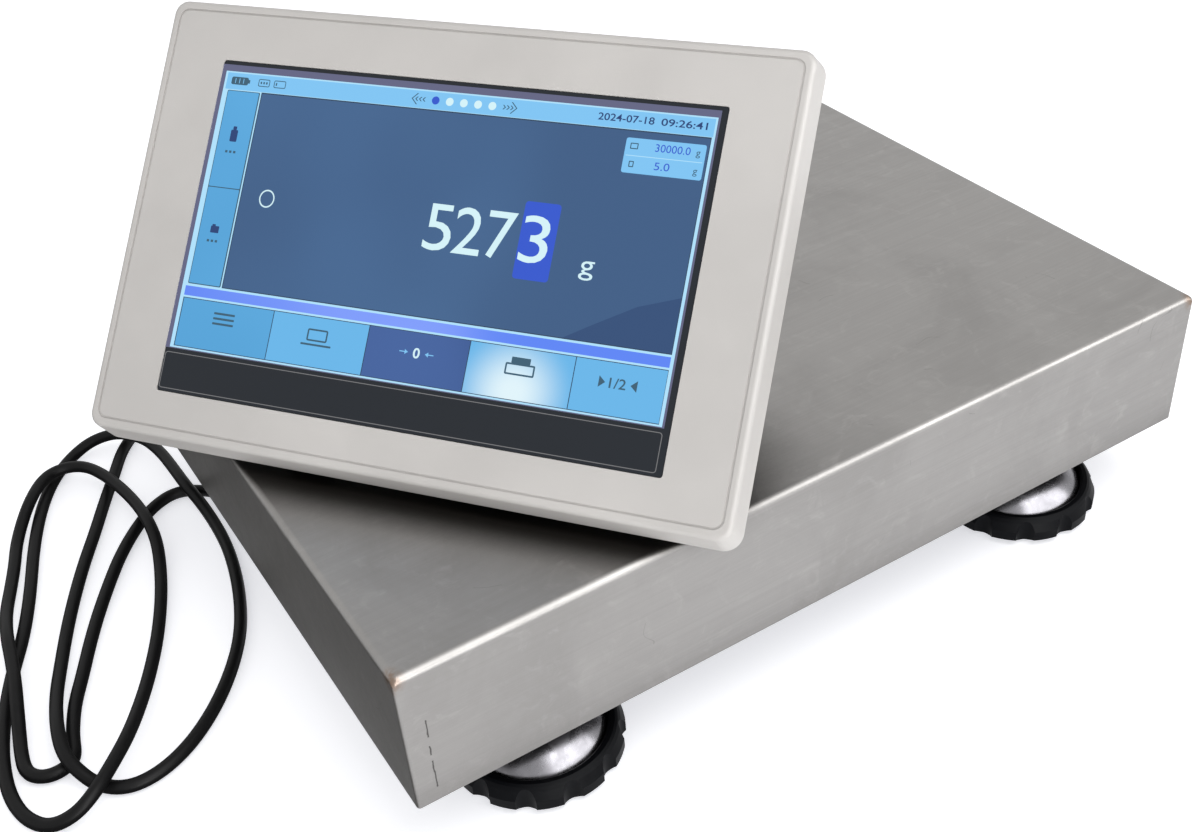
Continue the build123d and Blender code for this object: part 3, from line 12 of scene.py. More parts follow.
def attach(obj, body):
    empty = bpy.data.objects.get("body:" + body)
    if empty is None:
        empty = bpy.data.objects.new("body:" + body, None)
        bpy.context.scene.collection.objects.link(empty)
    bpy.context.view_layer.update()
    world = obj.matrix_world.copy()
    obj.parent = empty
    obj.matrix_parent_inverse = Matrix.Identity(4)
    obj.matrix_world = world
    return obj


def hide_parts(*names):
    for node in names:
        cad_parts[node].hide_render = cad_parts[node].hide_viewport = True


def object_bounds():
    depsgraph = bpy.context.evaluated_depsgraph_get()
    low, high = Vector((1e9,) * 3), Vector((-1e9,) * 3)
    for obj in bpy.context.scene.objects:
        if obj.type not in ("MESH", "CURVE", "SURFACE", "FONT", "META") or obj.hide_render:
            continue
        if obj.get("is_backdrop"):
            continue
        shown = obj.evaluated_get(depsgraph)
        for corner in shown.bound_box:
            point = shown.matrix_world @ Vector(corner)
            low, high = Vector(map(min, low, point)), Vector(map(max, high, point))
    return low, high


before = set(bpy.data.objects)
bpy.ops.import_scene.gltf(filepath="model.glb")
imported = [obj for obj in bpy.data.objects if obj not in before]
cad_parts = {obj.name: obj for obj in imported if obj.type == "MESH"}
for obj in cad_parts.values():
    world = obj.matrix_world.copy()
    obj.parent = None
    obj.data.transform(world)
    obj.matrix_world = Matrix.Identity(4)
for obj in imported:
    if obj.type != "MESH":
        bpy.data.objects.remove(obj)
CAD_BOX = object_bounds()

log = logging.getLogger("bench_scale")
MM = 0.001
BENCH_SHIFT = Vector((-178.8299, -141.7236, 0.0))
PAN_WELD_HEIGHT = 103.0
PLUG_PLACE = (55.0, 125.0)
PLUG_RING_DEPTH = -37.3

Point2 = tuple[float, float]
Point3 = tuple[float, float, float]
Colour = tuple[float, float, float]
Socket = bpy.types.NodeSocket


def linear(red: int, green: int, blue: int) -> Colour:
    """Turn a display colour into the linear one that shaders take.

    Args:
        red, green, blue: the colour's parts, 0 to 255.

    Returns:
        The linear colour, each part 0 to 1.
    """
    def part(value: int) -> float:
        """One part of the colour, made linear."""
        share = value / 255
        return share / 12.92 if share <= 0.04045 else ((share + 0.055) / 1.055) ** 2.4
    return part(red), part(green), part(blue)


def bench(x: float, y: float, z: float) -> Vector:
    """A point given in millimetres from the pan's front-left corner and the bench, in the model's metres."""
    return (Vector((x, y, z)) + BENCH_SHIFT) * MM


@dataclass(frozen=True)
class FacePlane:
    """The indicator's leaning front: u to the right, v up the face, d outwards, in millimetres."""

    origin: Vector = field(default_factory=lambda: Vector((-44.9, 193.2, 120.0)))
    yaw: float = -51.9
    tilt: float = 43.11

    @property
    def across(self) -> Vector:
        """Unit vector to the right along the face."""
        turn = math.radians(self.yaw)
        return Vector((math.cos(turn), math.sin(turn), 0.0))

    @property
    def rise(self) -> Vector:
        """Unit vector up the face."""
        turn, lean = math.radians(self.yaw), math.radians(self.tilt)
        backward = Vector((-math.sin(turn), math.cos(turn), 0.0))
        return Vector((0, 0, 1)) * math.cos(lean) + backward * math.sin(lean)

    @property
    def outward(self) -> Vector:
        """Unit vector straight out of the face."""
        return self.across.cross(self.rise)

    def point(self, u: float, v: float, d: float = 0.0) -> Vector:
        """A point of the face in the model's metres."""
        place = self.origin + self.across * u + self.rise * v + self.outward * d
        return bench(place.x, place.y, place.z)

    def matrix(self, u: float, v: float, d: float) -> Matrix:
        """A transform whose X, Y and Z are the face's u, v and outward.

        Args:
            u, v, d: where it stands on the face, in millimetres.

        Returns:
            The transform, in metres.
        """
        turned = Matrix((self.across, self.rise, self.outward)).transposed().to_4x4()
        turned.translation = self.point(u, v, d)
        return turned


FACE = FacePlane()


class NodeSheet:
    """A short way to add and join nodes in one tree."""

    def __init__(self, tree: bpy.types.NodeTree) -> None:
        """Keep the tree that nodes are added to."""
        self.tree = tree

    def add(self, kind: str, **values: object) -> bpy.types.Node:
        """Add a node and set its properties.

        Args:
            kind: the node's type name.
            values: properties by name.

        Returns:
            The new node.
        """
        node = self.tree.nodes.new(kind)
        for name, value in values.items():
            setattr(node, name, value)
        return node

    def feed(self, socket: Socket, value: object) -> None:
        """Join a socket to an output, or set it to a plain value.

        Args:
            socket: the input to feed.
            value: an output socket, a number or a colour.
        """
        if isinstance(value, bpy.types.NodeSocket):
            self.tree.links.new(value, socket)
        elif isinstance(value, tuple) and len(value) == 3 and len(socket.default_value) == 4:
            socket.default_value = (*value, 1.0)
        else:
            socket.default_value = value

    def math(self, operation: str, first: object, second: object = 0.0) -> Socket:
        """Add a Math node.

        Args:
            operation: what it works out.
            first, second: its two inputs, as sockets or numbers.

        Returns:
            Its result.
        """
        node = self.add("ShaderNodeMath", operation=operation)
        self.feed(node.inputs[0], first)
        self.feed(node.inputs[1], second)
        return node.outputs[0]

    def spread(self, value: Socket, low: object, high: object, to_low: float, to_high: float) -> Socket:
        """Map a range onto another one, smoothly and clamped.

        Args:
            value: what is mapped.
            low, high: the ends of its range.
            to_low, to_high: what those ends become.

        Returns:
            The mapped value.
        """
        node = self.add("ShaderNodeMapRange", interpolation_type="SMOOTHSTEP")
        for number, part in enumerate((value, low, high, to_low, to_high)):
            self.feed(node.inputs[number], part)
        return node.outputs[0]

    def blend(self, share: object, first: object, second: object) -> Socket:
        """Mix two colours.

        Args:
            share: how much of the second one, 0 to 1.
            first, second: the colours, as sockets or plain ones.

        Returns:
            The mixed colour.
        """
        node = self.add("ShaderNodeMix", data_type="RGBA")
        self.feed(node.inputs[0], share)
        self.feed(node.inputs[6], first)
        self.feed(node.inputs[7], second)
        return node.outputs[2]

    def noise(self, vector: Socket, scale: object, detail: float = 3.0, rough: float = 0.5,
              distortion: float = 0.0) -> Socket:
        """Add a noise.

        Args:
            vector: what the noise follows.
            scale: how many cells there are to a metre.
            detail: how many finer layers are added.
            rough: how strong the finer layers are.
            distortion: how much it is curled.

        Returns:
            The noise's value, 0 to 1.
        """
        node = self.add("ShaderNodeTexNoise")
        self.feed(node.inputs["Vector"], vector)
        self.feed(node.inputs["Scale"], scale)
        self.feed(node.inputs["Detail"], detail)
        self.feed(node.inputs["Roughness"], rough)
        self.feed(node.inputs["Distortion"], distortion)
        return node.outputs["Fac"]

    def stretched(self, vector: Socket, along: object, across: object, upright: object) -> Socket:
        """Scale a vector by its own amount on each axis.

        Args:
            vector: the vector.
            along, across, upright: the amounts on X, Y and Z.

        Returns:
            The scaled vector.
        """
        joined = self.add("ShaderNodeCombineXYZ")
        for number, part in enumerate((along, across, upright)):
            self.feed(joined.inputs[number], part)
        node = self.add("ShaderNodeVectorMath", operation="MULTIPLY")
        self.feed(node.inputs[0], vector)
        self.feed(node.inputs[1], joined.outputs[0])
        return node.outputs[0]


class Effects:
    """Shader node groups that several finishes share."""

    made: dict[str, bpy.types.NodeTree] = {}

    @classmethod
    def start(cls, name: str, inputs: dict[str, float],
              outputs: tuple[str, ...]) -> tuple[NodeSheet, dict, dict]:
        """Make an empty group with a vector input, named numbers and named outputs.

        Args:
            name: the group's name.
            inputs: number inputs and their usual values.
            outputs: the names of the value outputs.

        Returns:
            The group's sheet, its inputs by name and its output sockets by name.
        """
        tree = bpy.data.node_groups.new(name, "ShaderNodeTree")
        tree.interface.new_socket("Vector", in_out="INPUT", socket_type="NodeSocketVector")
        for label, usual in inputs.items():
            made = tree.interface.new_socket(label, in_out="INPUT", socket_type="NodeSocketFloat")
            made.default_value = usual
        for label in outputs:
            tree.interface.new_socket(label, in_out="OUTPUT", socket_type="NodeSocketFloat")
        sheet = NodeSheet(tree)
        entry, leave = sheet.add("NodeGroupInput"), sheet.add("NodeGroupOutput")
        cls.made[name] = tree
        return sheet, {s.name: s for s in entry.outputs}, {s.name: s for s in leave.inputs}

    @classmethod
    def build(cls) -> None:
        """Build every group once."""
        cls.brushing()
        cls.smudges()
        cls.scratches()
        cls.grain()

    @classmethod
    def brushing(cls) -> None:
        """Fine parallel lines, as left by a belt."""
        usual = {"Along X": 6.0, "Along Y": 900.0, "Along Z": 900.0}
        sheet, given, out = cls.start("brushing", usual, ("Lines",))
        vector = sheet.stretched(given["Vector"], given["Along X"], given["Along Y"], given["Along Z"])
        fine = sheet.math("MULTIPLY", sheet.noise(vector, 1.0, detail=4.0, rough=0.65), 0.6)
        broad = sheet.math("MULTIPLY", sheet.noise(vector, 0.23, detail=2.0), 0.4)
        sheet.feed(out["Lines"], sheet.math("ADD", fine, broad))

    @classmethod
    def smudges(cls) -> None:
        """Soft cloudy marks left by hands and cloths."""
        sheet, given, out = cls.start("smudges", {"Scale": 18.0, "Low": 0.45, "High": 0.7}, ("Mask",))
        clouds = sheet.noise(given["Vector"], given["Scale"], detail=5.0, rough=0.62, distortion=0.8)
        sheet.feed(out["Mask"], sheet.spread(clouds, given["Low"], given["High"], 0.0, 1.0))

    @classmethod
    def scratches(cls) -> None:
        """A few thin short lines in scattered places."""
        sheet, given, out = cls.start("scratches", {"Scale": 40.0, "Width": 0.012, "Amount": 0.62}, ("Mask",))
        curl = sheet.noise(given["Vector"], given["Scale"], detail=1.0)
        near = sheet.math("ABSOLUTE", sheet.math("SUBTRACT", curl, 0.5))
        line = sheet.math("LESS_THAN", near, given["Width"])
        scattered = sheet.noise(given["Vector"], sheet.math("MULTIPLY", given["Scale"], 0.8), detail=2.0)
        patch = sheet.math("GREATER_THAN", scattered, given["Amount"])
        sheet.feed(out["Mask"], sheet.math("MULTIPLY", line, patch))

    @classmethod
    def grain(cls) -> None:
        """The fine pitted texture of a moulded or painted surface."""
        sheet, given, out = cls.start("grain", {"Scale": 1500.0}, ("Height", "Shade"))
        sheet.feed(out["Height"], sheet.noise(given["Vector"], given["Scale"]))
        sheet.feed(out["Shade"], sheet.noise(given["Vector"], 14.0))

    @classmethod
    def place(cls, sheet: NodeSheet, name: str, vector: Socket, **values: float) -> bpy.types.Node:
        """Place a group in a material with its own values.

        Args:
            sheet: the material's sheet.
            name: the group's name.
            vector: what the pattern follows.
            values: inputs, with underscores for spaces.

        Returns:
            The group node.
        """
        node = sheet.add("ShaderNodeGroup")
        node.node_tree = cls.made[name]
        sheet.feed(node.inputs["Vector"], vector)
        for label, value in values.items():
            sheet.feed(node.inputs[label.replace("_", " ")], value)
        return node


@dataclass(frozen=True)
class Finish:
    """A finish: a name, a colour and how rough it is. Each kind dresses its own material."""

    name: str
    colour: Colour
    rough: float = 0.5

    def build(self) -> bpy.types.Material:
        """Make the material, or give back the one made before.

        Returns:
            The material, dressed.
        """
        known = bpy.data.materials.get(self.name)
        if known:
            return known
        material = bpy.data.materials.new(self.name)
        material.use_nodes = True
        sheet = NodeSheet(material.node_tree)
        shader = material.node_tree.nodes["Principled BSDF"]
        sheet.feed(shader.inputs["Base Color"], self.colour)
        shader.inputs["Roughness"].default_value = self.rough
        where = sheet.add("ShaderNodeTexCoord").outputs["Object"]
        self.dress(sheet, shader, where)
        return material

    def toned(self, share: float) -> Colour:
        """The finish's own colour times a share, each part at most 1."""
        return tuple(min(1.0, part * share) for part in self.colour)

    def dress(self, sheet: NodeSheet, shader: bpy.types.Node, where: Socket) -> None:
        """Add this finish's own pattern. The plain finish has none.

        Args:
            sheet: the material's sheet.
            shader: the material's shader.
            where: the piece's Object coordinates.
        """

    @staticmethod
    def bump(sheet: NodeSheet, shader: bpy.types.Node, height: Socket, strength: float,
             distance: float) -> None:
        """Join a height to the shader's normal.

        Args:
            sheet: the material's sheet.
            shader: the material's shader.
            height: the height, 0 to 1.
            strength: how strongly it shows.
            distance: how high it is, in metres.
        """
        node = sheet.add("ShaderNodeBump")
        node.inputs["Strength"].default_value = strength
        node.inputs["Distance"].default_value = distance
        sheet.feed(node.inputs["Height"], height)
        sheet.feed(shader.inputs["Normal"], node.outputs[0])


@dataclass(frozen=True)
class BrushedCover(Finish):
    """Brushed stainless sheet with clouding, scratches, faint brown tint at the welded corners and painted
    shade where something stands close above it.

    The corners are places on the pan, the nicks a place along the front skirt and two heights, all
    in millimetres. The overhang is how near, in metres, a thing has to stand to cast the painted shade
    on the sheet, and the shade is that painted shade's colour.
    """

    corners: tuple[Point2, ...] = ((0.2, 2.8), (399.5, 1.0))
    nicks: tuple[Point3, ...] = ((9.3, 71.0, 80.0), (9.1, 61.5, 66.5), (9.0, 44.0, 58.5))
    metal: float = 0.93
    overhang: float = 0.07
    burnt: Colour = linear(120, 90, 64)
    scored: Colour = linear(66, 64, 62)
    # colour of the painted shade, laid where something stands close above the sheet
    shade: Colour = linear(30, 27, 24)

    def dress(self, sheet: NodeSheet, shader: bpy.types.Node, where: Socket) -> None:
        """Lines run along the pan's length; marks and tint change the colour and the roughness; a painted
        shade darkens the colour where something stands close above.

        Args:
            sheet, shader, where: as the plain finish takes them.
        """
        shader.inputs["Metallic"].default_value = self.metal
        brushed = Effects.place(sheet, "brushing", where, Along_X=9.0, Along_Y=1500.0, Along_Z=1500.0)
        lines = brushed.outputs[0]
        cloud = Effects.place(sheet, "smudges", where, Scale=13.0, Low=0.38, High=0.72).outputs[0]
        spots = Effects.place(sheet, "smudges", where, Scale=85.0, Low=0.52, High=0.74).outputs[0]
        marks = Effects.place(sheet, "scratches", where, Scale=46.0, Width=0.004, Amount=0.66).outputs[0]
        tone = sheet.blend(cloud, self.colour, self.toned(0.86))
        tone = sheet.blend(sheet.math("MULTIPLY", spots, 0.55), tone, self.toned(1.16))
        tone = sheet.blend(sheet.spread(lines, 0.3, 0.7, 0.0, 0.24), tone, self.toned(0.74))
        tone = sheet.blend(sheet.math("MULTIPLY", marks, 0.4), tone, self.toned(0.5))
        for x, y in self.corners:
            tone = sheet.blend(self.tint(sheet, where, x, y), tone, self.burnt)
        for x, low, high in self.nicks:
            tone = sheet.blend(self.nick(sheet, where, x, low, high), tone, self.scored)
        # painted shade: ambient occlusion darkens the sheet under the indicator and wherever else something
        # stands close above it
        tone = sheet.blend(self.painted_shade_mask(sheet), tone, self.shade)
        sheet.feed(shader.inputs["Base Color"], tone)
        rough = sheet.math("ADD", sheet.math("MULTIPLY", lines, 0.20), sheet.math("MULTIPLY", cloud, 0.07))
        sheet.feed(shader.inputs["Roughness"], sheet.math("ADD", rough, self.rough))
        height = sheet.math("ADD", lines, sheet.math("MULTIPLY", marks, -0.8))
        self.bump(sheet, shader, height, 0.10, 0.00012)

    def painted_shade_mask(self, sheet: NodeSheet) -> Socket:
        """Find where the painted shade goes: the places that something stands close to.

        Args:
            sheet: the material's sheet.

        Returns:
            A mask of painted shade, near 1 where something stands close above the sheet.
        """
        nearby = sheet.add("ShaderNodeAmbientOcclusion", samples=16)
        nearby.inputs["Distance"].default_value = self.overhang
        return sheet.spread(nearby.outputs["AO"], 0.45, 0.97, 0.97, 0.0)

    @staticmethod
    def tint(sheet: NodeSheet, where: Socket, x: float, y: float) -> Socket:
        """Find what lies within a few millimetres of a corner of the pan's top.

        Args:
            sheet: the material's sheet.
            where: the piece's Object coordinates.
            x, y: the corner's place on the pan, in millimetres.

        Returns:
            A mask that fades out away from the corner.
        """
        offset = sheet.add("ShaderNodeVectorMath", operation="DISTANCE")
        sheet.feed(offset.inputs[0], where)
        offset.inputs[1].default_value = bench(x, y, PAN_WELD_HEIGHT)
        near = sheet.spread(offset.outputs["Value"], 0.001, 0.007, 0.7, 0.0)
        ragged = sheet.spread(sheet.noise(where, 420.0), 0.3, 0.6, 0.2, 1.0)
        return sheet.math("MULTIPLY", near, ragged)

    @staticmethod
    def nick(sheet: NodeSheet, where: Socket, x: float, low: float, high: float) -> Socket:
        """Draw one thin upright scratch on the front skirt.

        Args:
            sheet: the material's sheet.
            where: the piece's Object coordinates.
            x: its place along the skirt, in millimetres.
            low, high: the heights between which it runs, in millimetres.

        Returns:
            A mask that is near 1 on the scratch.
        """
        parts = sheet.add("ShaderNodeSeparateXYZ")
        sheet.feed(parts.inputs[0], where)
        foot, top = bench(x, 0.0, low), bench(x, 0.0, high)
        wander = sheet.math("MULTIPLY", sheet.math("SUBTRACT", sheet.noise(where, 260.0), 0.5), 0.0014)
        aside = sheet.math("SUBTRACT", sheet.math("ADD", parts.outputs[0], wander), foot.x)
        line = sheet.spread(sheet.math("ABSOLUTE", aside), 0.0001, 0.00045, 0.9, 0.0)
        above = sheet.math("GREATER_THAN", parts.outputs[2], foot.z)
        below = sheet.math("LESS_THAN", parts.outputs[2], top.z)
        front = sheet.math("LESS_THAN", parts.outputs[1], foot.y + 0.002)
        between = sheet.math("MULTIPLY", above, below)
        return sheet.math("MULTIPLY", sheet.math("MULTIPLY", line, front), between)


@dataclass(frozen=True)
class PolishedMetal(Finish):
    """Turned or plated metal, lightly marked."""

    marks: float = 0.15

    def dress(self, sheet: NodeSheet, shader: bpy.types.Node, where: Socket) -> None:
        """Cloud the roughness and colour slightly.

        Args:
            sheet, shader, where: as the plain finish takes them.
        """
        shader.inputs["Metallic"].default_value = 1.0
        cloud = Effects.place(sheet, "smudges", where, Scale=120.0, Low=0.4, High=0.75).outputs[0]
        sheet.feed(shader.inputs["Base Color"], sheet.blend(cloud, self.colour, self.toned(0.82)))
        rough = sheet.math("ADD", sheet.math("MULTIPLY", cloud, self.marks), self.rough)
        sheet.feed(shader.inputs["Roughness"], rough)


@dataclass(frozen=True)
class Moulded(Finish):
    """Moulded plastic, paint or rubber with a fine texture and slight unevenness of colour."""

    texture: float = 0.12
    grain: float = 1500.0
    dust: float = 0.06
    sheen: float = 0.0
    shine: float = 0.5

    def dress(self, sheet: NodeSheet, shader: bpy.types.Node, where: Socket) -> None:
        """Add fine pits, broad shading and a little dust.

        Args:
            sheet, shader, where: as the plain finish takes them.
        """
        pits = Effects.place(sheet, "grain", where, Scale=self.grain)
        dusty = Effects.place(sheet, "smudges", where, Scale=60.0, Low=0.5, High=0.8).outputs[0]
        shade = sheet.spread(pits.outputs["Shade"], 0.3, 0.7, 0.0, 1.0)
        tone = sheet.blend(shade, self.toned(0.94), self.toned(1.05))
        pale = tuple(min(1.0, part + 0.25) for part in self.colour)
        powder = sheet.math("MULTIPLY", dusty, self.dust)
        sheet.feed(shader.inputs["Base Color"], sheet.blend(powder, tone, pale))
        rough = sheet.math("ADD", sheet.math("MULTIPLY", dusty, 0.12), self.rough)
        sheet.feed(shader.inputs["Roughness"], rough)
        shader.inputs["Sheen Weight"].default_value = self.sheen
        shader.inputs["Specular IOR Level"].default_value = self.shine
        self.bump(sheet, shader, pits.outputs["Height"], self.texture, 0.00005)


@dataclass(frozen=True)
class ScreenInk(Finish):
    """A lit area of the display under its glossy panel."""

    rough: float = 0.14
    glow: float = 0.95
    second: Colour | None = None

    def dress(self, sheet: NodeSheet, shader: bpy.types.Node, where: Socket) -> None:
        """Make the area almost black by itself, glowing in its colour.

        Args:
            sheet, shader, where: as the plain finish takes them.
        """
        sheet.feed(shader.inputs["Base Color"], (0.01, 0.01, 0.012))
        shader.inputs["Specular IOR Level"].default_value = 0.15
        shader.inputs["Emission Strength"].default_value = self.glow
        sheet.feed(shader.inputs["Emission Color"], self.light(sheet, where))

    def light(self, sheet: NodeSheet, where: Socket) -> Colour | Socket:
        """Choose the glow's colour, which changes slowly to a second one where one is given.

        Args:
            sheet: the material's sheet.
            where: the piece's Object coordinates.

        Returns:
            The plain colour, or the socket of the changing one.
        """
        if self.second is None:
            return self.colour
        patch = sheet.spread(sheet.noise(where, 7.0, detail=2.0), 0.35, 0.65, 0.0, 1.0)
        return sheet.blend(patch, self.colour, self.second)


@dataclass(frozen=True)
class PaintedGlareInk(ScreenInk):
    """A lit area with a painted glare that pales towards one place of the face, given as u and v in
    millimetres, standing in for a lamp's reflection there.
    """

    place: Point2 = (183.0, 41.0)
    reach: float = 0.026

    def light(self, sheet: NodeSheet, where: Socket) -> Socket:
        """Blend the glow's colour into the second one near the place, as a painted glare.

        Args:
            sheet: the material's sheet.
            where: the piece's Object coordinates.

        Returns:
            The blended colour's socket.
        """
        away = sheet.add("ShaderNodeVectorMath", operation="DISTANCE")
        sheet.feed(away.inputs[0], where)
        away.inputs[1].default_value = FACE.point(*self.place)
        near = sheet.spread(away.outputs["Value"], 0.002, self.reach, 0.95, 0.0)
        return sheet.blend(near, self.colour, self.second)


@dataclass(frozen=True)
class PanelGlass(Finish):
    """The black border of the touch panel, glossy with faint finger marks."""

    def dress(self, sheet: NodeSheet, shader: bpy.types.Node, where: Socket) -> None:
        """Let finger marks change the roughness.

        Args:
            sheet, shader, where: as the plain finish takes them.
        """
        prints = Effects.place(sheet, "smudges", where, Scale=45.0, Low=0.5, High=0.75).outputs[0]
        smear = sheet.math("MULTIPLY", prints, 0.10)
        sheet.feed(shader.inputs["Roughness"], sheet.math("ADD", smear, self.rough))
        shader.inputs["Specular IOR Level"].default_value = 0.25


class Finishes:
    """Every finish that the scale wears."""

    cover = BrushedCover("brushed_cover", linear(152, 150, 148), rough=0.27)
    dome = PolishedMetal("polished_dome", linear(128, 127, 131), rough=0.24, marks=0.10)
    zinc = PolishedMetal("zinc_plating", linear(170, 170, 168), rough=0.32, marks=0.15)
    nickel = PolishedMetal("nickel_plating", linear(182, 180, 176), rough=0.22, marks=0.12)
    cell = PolishedMetal("anodised_cell", linear(198, 200, 204), rough=0.38, marks=0.12)
    case = Moulded("pale_case", linear(190, 187, 184), rough=0.42, texture=0.10, grain=1800.0, dust=0.03)
    rear = Moulded("grey_case", linear(168, 168, 176), rough=0.5, texture=0.12, grain=1500.0, dust=0.04)
    clip = Moulded("blue_grey_clip", linear(118, 122, 160), rough=0.4, texture=0.05, grain=900.0, dust=0.0)
    grip = Moulded("black_grip", linear(9, 10, 13), rough=0.42, texture=0.25,
                   grain=900.0, dust=0.01, shine=0.06)
    rubber = Moulded("black_rubber", linear(24, 24, 25), rough=0.75, texture=0.3,
                     grain=700.0, dust=0.05, sheen=0.1)
    jacket = Moulded("cable_jacket", linear(12, 12, 13), rough=0.45, texture=0.12,
                     grain=1200.0, dust=0.01, shine=0.16)
    paint = Moulded("frame_paint", linear(52, 53, 56), rough=0.5, texture=0.3, grain=600.0, dust=0.08)
    board = Moulded("circuit_laminate", linear(28, 96, 58), rough=0.35, texture=0.08, grain=2000.0, dust=0.02)
    wrap = Moulded("battery_wrap", linear(48, 72, 150), rough=0.3, texture=0.05, grain=400.0, dust=0.03)
    sealing = Moulded("sealing_compound", linear(222, 220, 212), rough=0.6, texture=0.2,
                      grain=300.0, dust=0.05)
    vial = Moulded("level_vial", linear(196, 214, 90), rough=0.12, texture=0.0, grain=200.0, dust=0.0)
    glass = PanelGlass("panel_glass", linear(26, 31, 38), rough=0.10)
    chip = Moulded("chip_black", linear(30, 30, 33), rough=0.45, texture=0.1, grain=900.0, dust=0.03)


class Ink(Enum):
    """The inks of the display, each with its finish."""

    BORDER = ScreenInk("ink_border", linear(96, 98, 128), glow=1.0)
    SKY = ScreenInk("ink_sky", linear(130, 202, 250), rough=0.12, glow=0.92)
    SKY_PALE = ScreenInk("ink_sky_pale", linear(178, 228, 255), rough=0.12)
    SLATE = ScreenInk("ink_slate", linear(57, 91, 133), rough=0.16, second=linear(65, 102, 146))
    # darker slate for the painted reflection at the readout's lower right
    SLATE_DARK = ScreenInk("ink_slate_dark", linear(44, 76, 120), rough=0.16)
    LINE_DARK = ScreenInk("ink_line_dark", linear(42, 66, 92), rough=0.16, glow=0.9)
    KEY = ScreenInk("ink_key", linear(82, 164, 218), second=linear(92, 174, 228))
    KEY_PALE = ScreenInk("ink_key_pale", linear(104, 184, 236))
    # painted glare on the fourth key: a pale spot standing in for a lamp's reflection there
    KEY_LIT = PaintedGlareInk("ink_key_lit", linear(104, 184, 236), second=linear(232, 250, 255))
    KEY_DARK = ScreenInk("ink_key_dark", linear(50, 82, 140), second=linear(64, 98, 160))
    STRIPE = ScreenInk("ink_stripe", linear(92, 134, 248), second=linear(130, 160, 255))
    CURSOR = ScreenInk("ink_cursor", linear(46, 86, 208))
    WHITE = ScreenInk("ink_white", linear(216, 246, 252))
    NAVY = ScreenInk("ink_navy", linear(34, 64, 120), glow=0.9)
    GREY = ScreenInk("ink_grey", linear(58, 96, 118), glow=0.9)
    OUTLINE = ScreenInk("ink_outline", linear(150, 150, 152), rough=0.3, glow=0.6)


def mesh_piece(name: str, points: list[Vector], faces: list[tuple[int, ...]],
               materials: list[bpy.types.Material], choice: list[int] | None = None) -> bpy.types.Object:
    """Make an object from points and faces.

    Args:
        name: the object's name.
        points: the mesh's points, in metres.
        faces: corner numbers of each face.
        materials: the material slots.
        choice: each face's material slot.

    Returns:
        The new object, linked to the scene.
    """
    mesh = bpy.data.meshes.new(name)
    mesh.from_pydata([tuple(p) for p in points], [], faces)
    for material in materials:
        mesh.materials.append(material)
    if choice:
        mesh.polygons.foreach_set("material_index", choice)
    mesh.update()
    made = bpy.data.objects.new(name, mesh)
    bpy.context.scene.collection.objects.link(made)
    return made


def finish_piece(piece: bpy.types.Object, body: str) -> None:
    """Make a piece ride on a body and log it.

    Args:
        piece: the piece.
        body: the body that it moves with.
    """
    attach(piece, body)
    log.info("%s rides on %s with %d faces", piece.name, body, len(getattr(piece.data, "polygons", ())))


class Layer(IntEnum):
    """The drawing's levels, from the lowest one up."""

    BORDER = 1
    GROUND = 2
    GAP = 3
    KEY = 4
    SIGN = 5
    TOP = 6


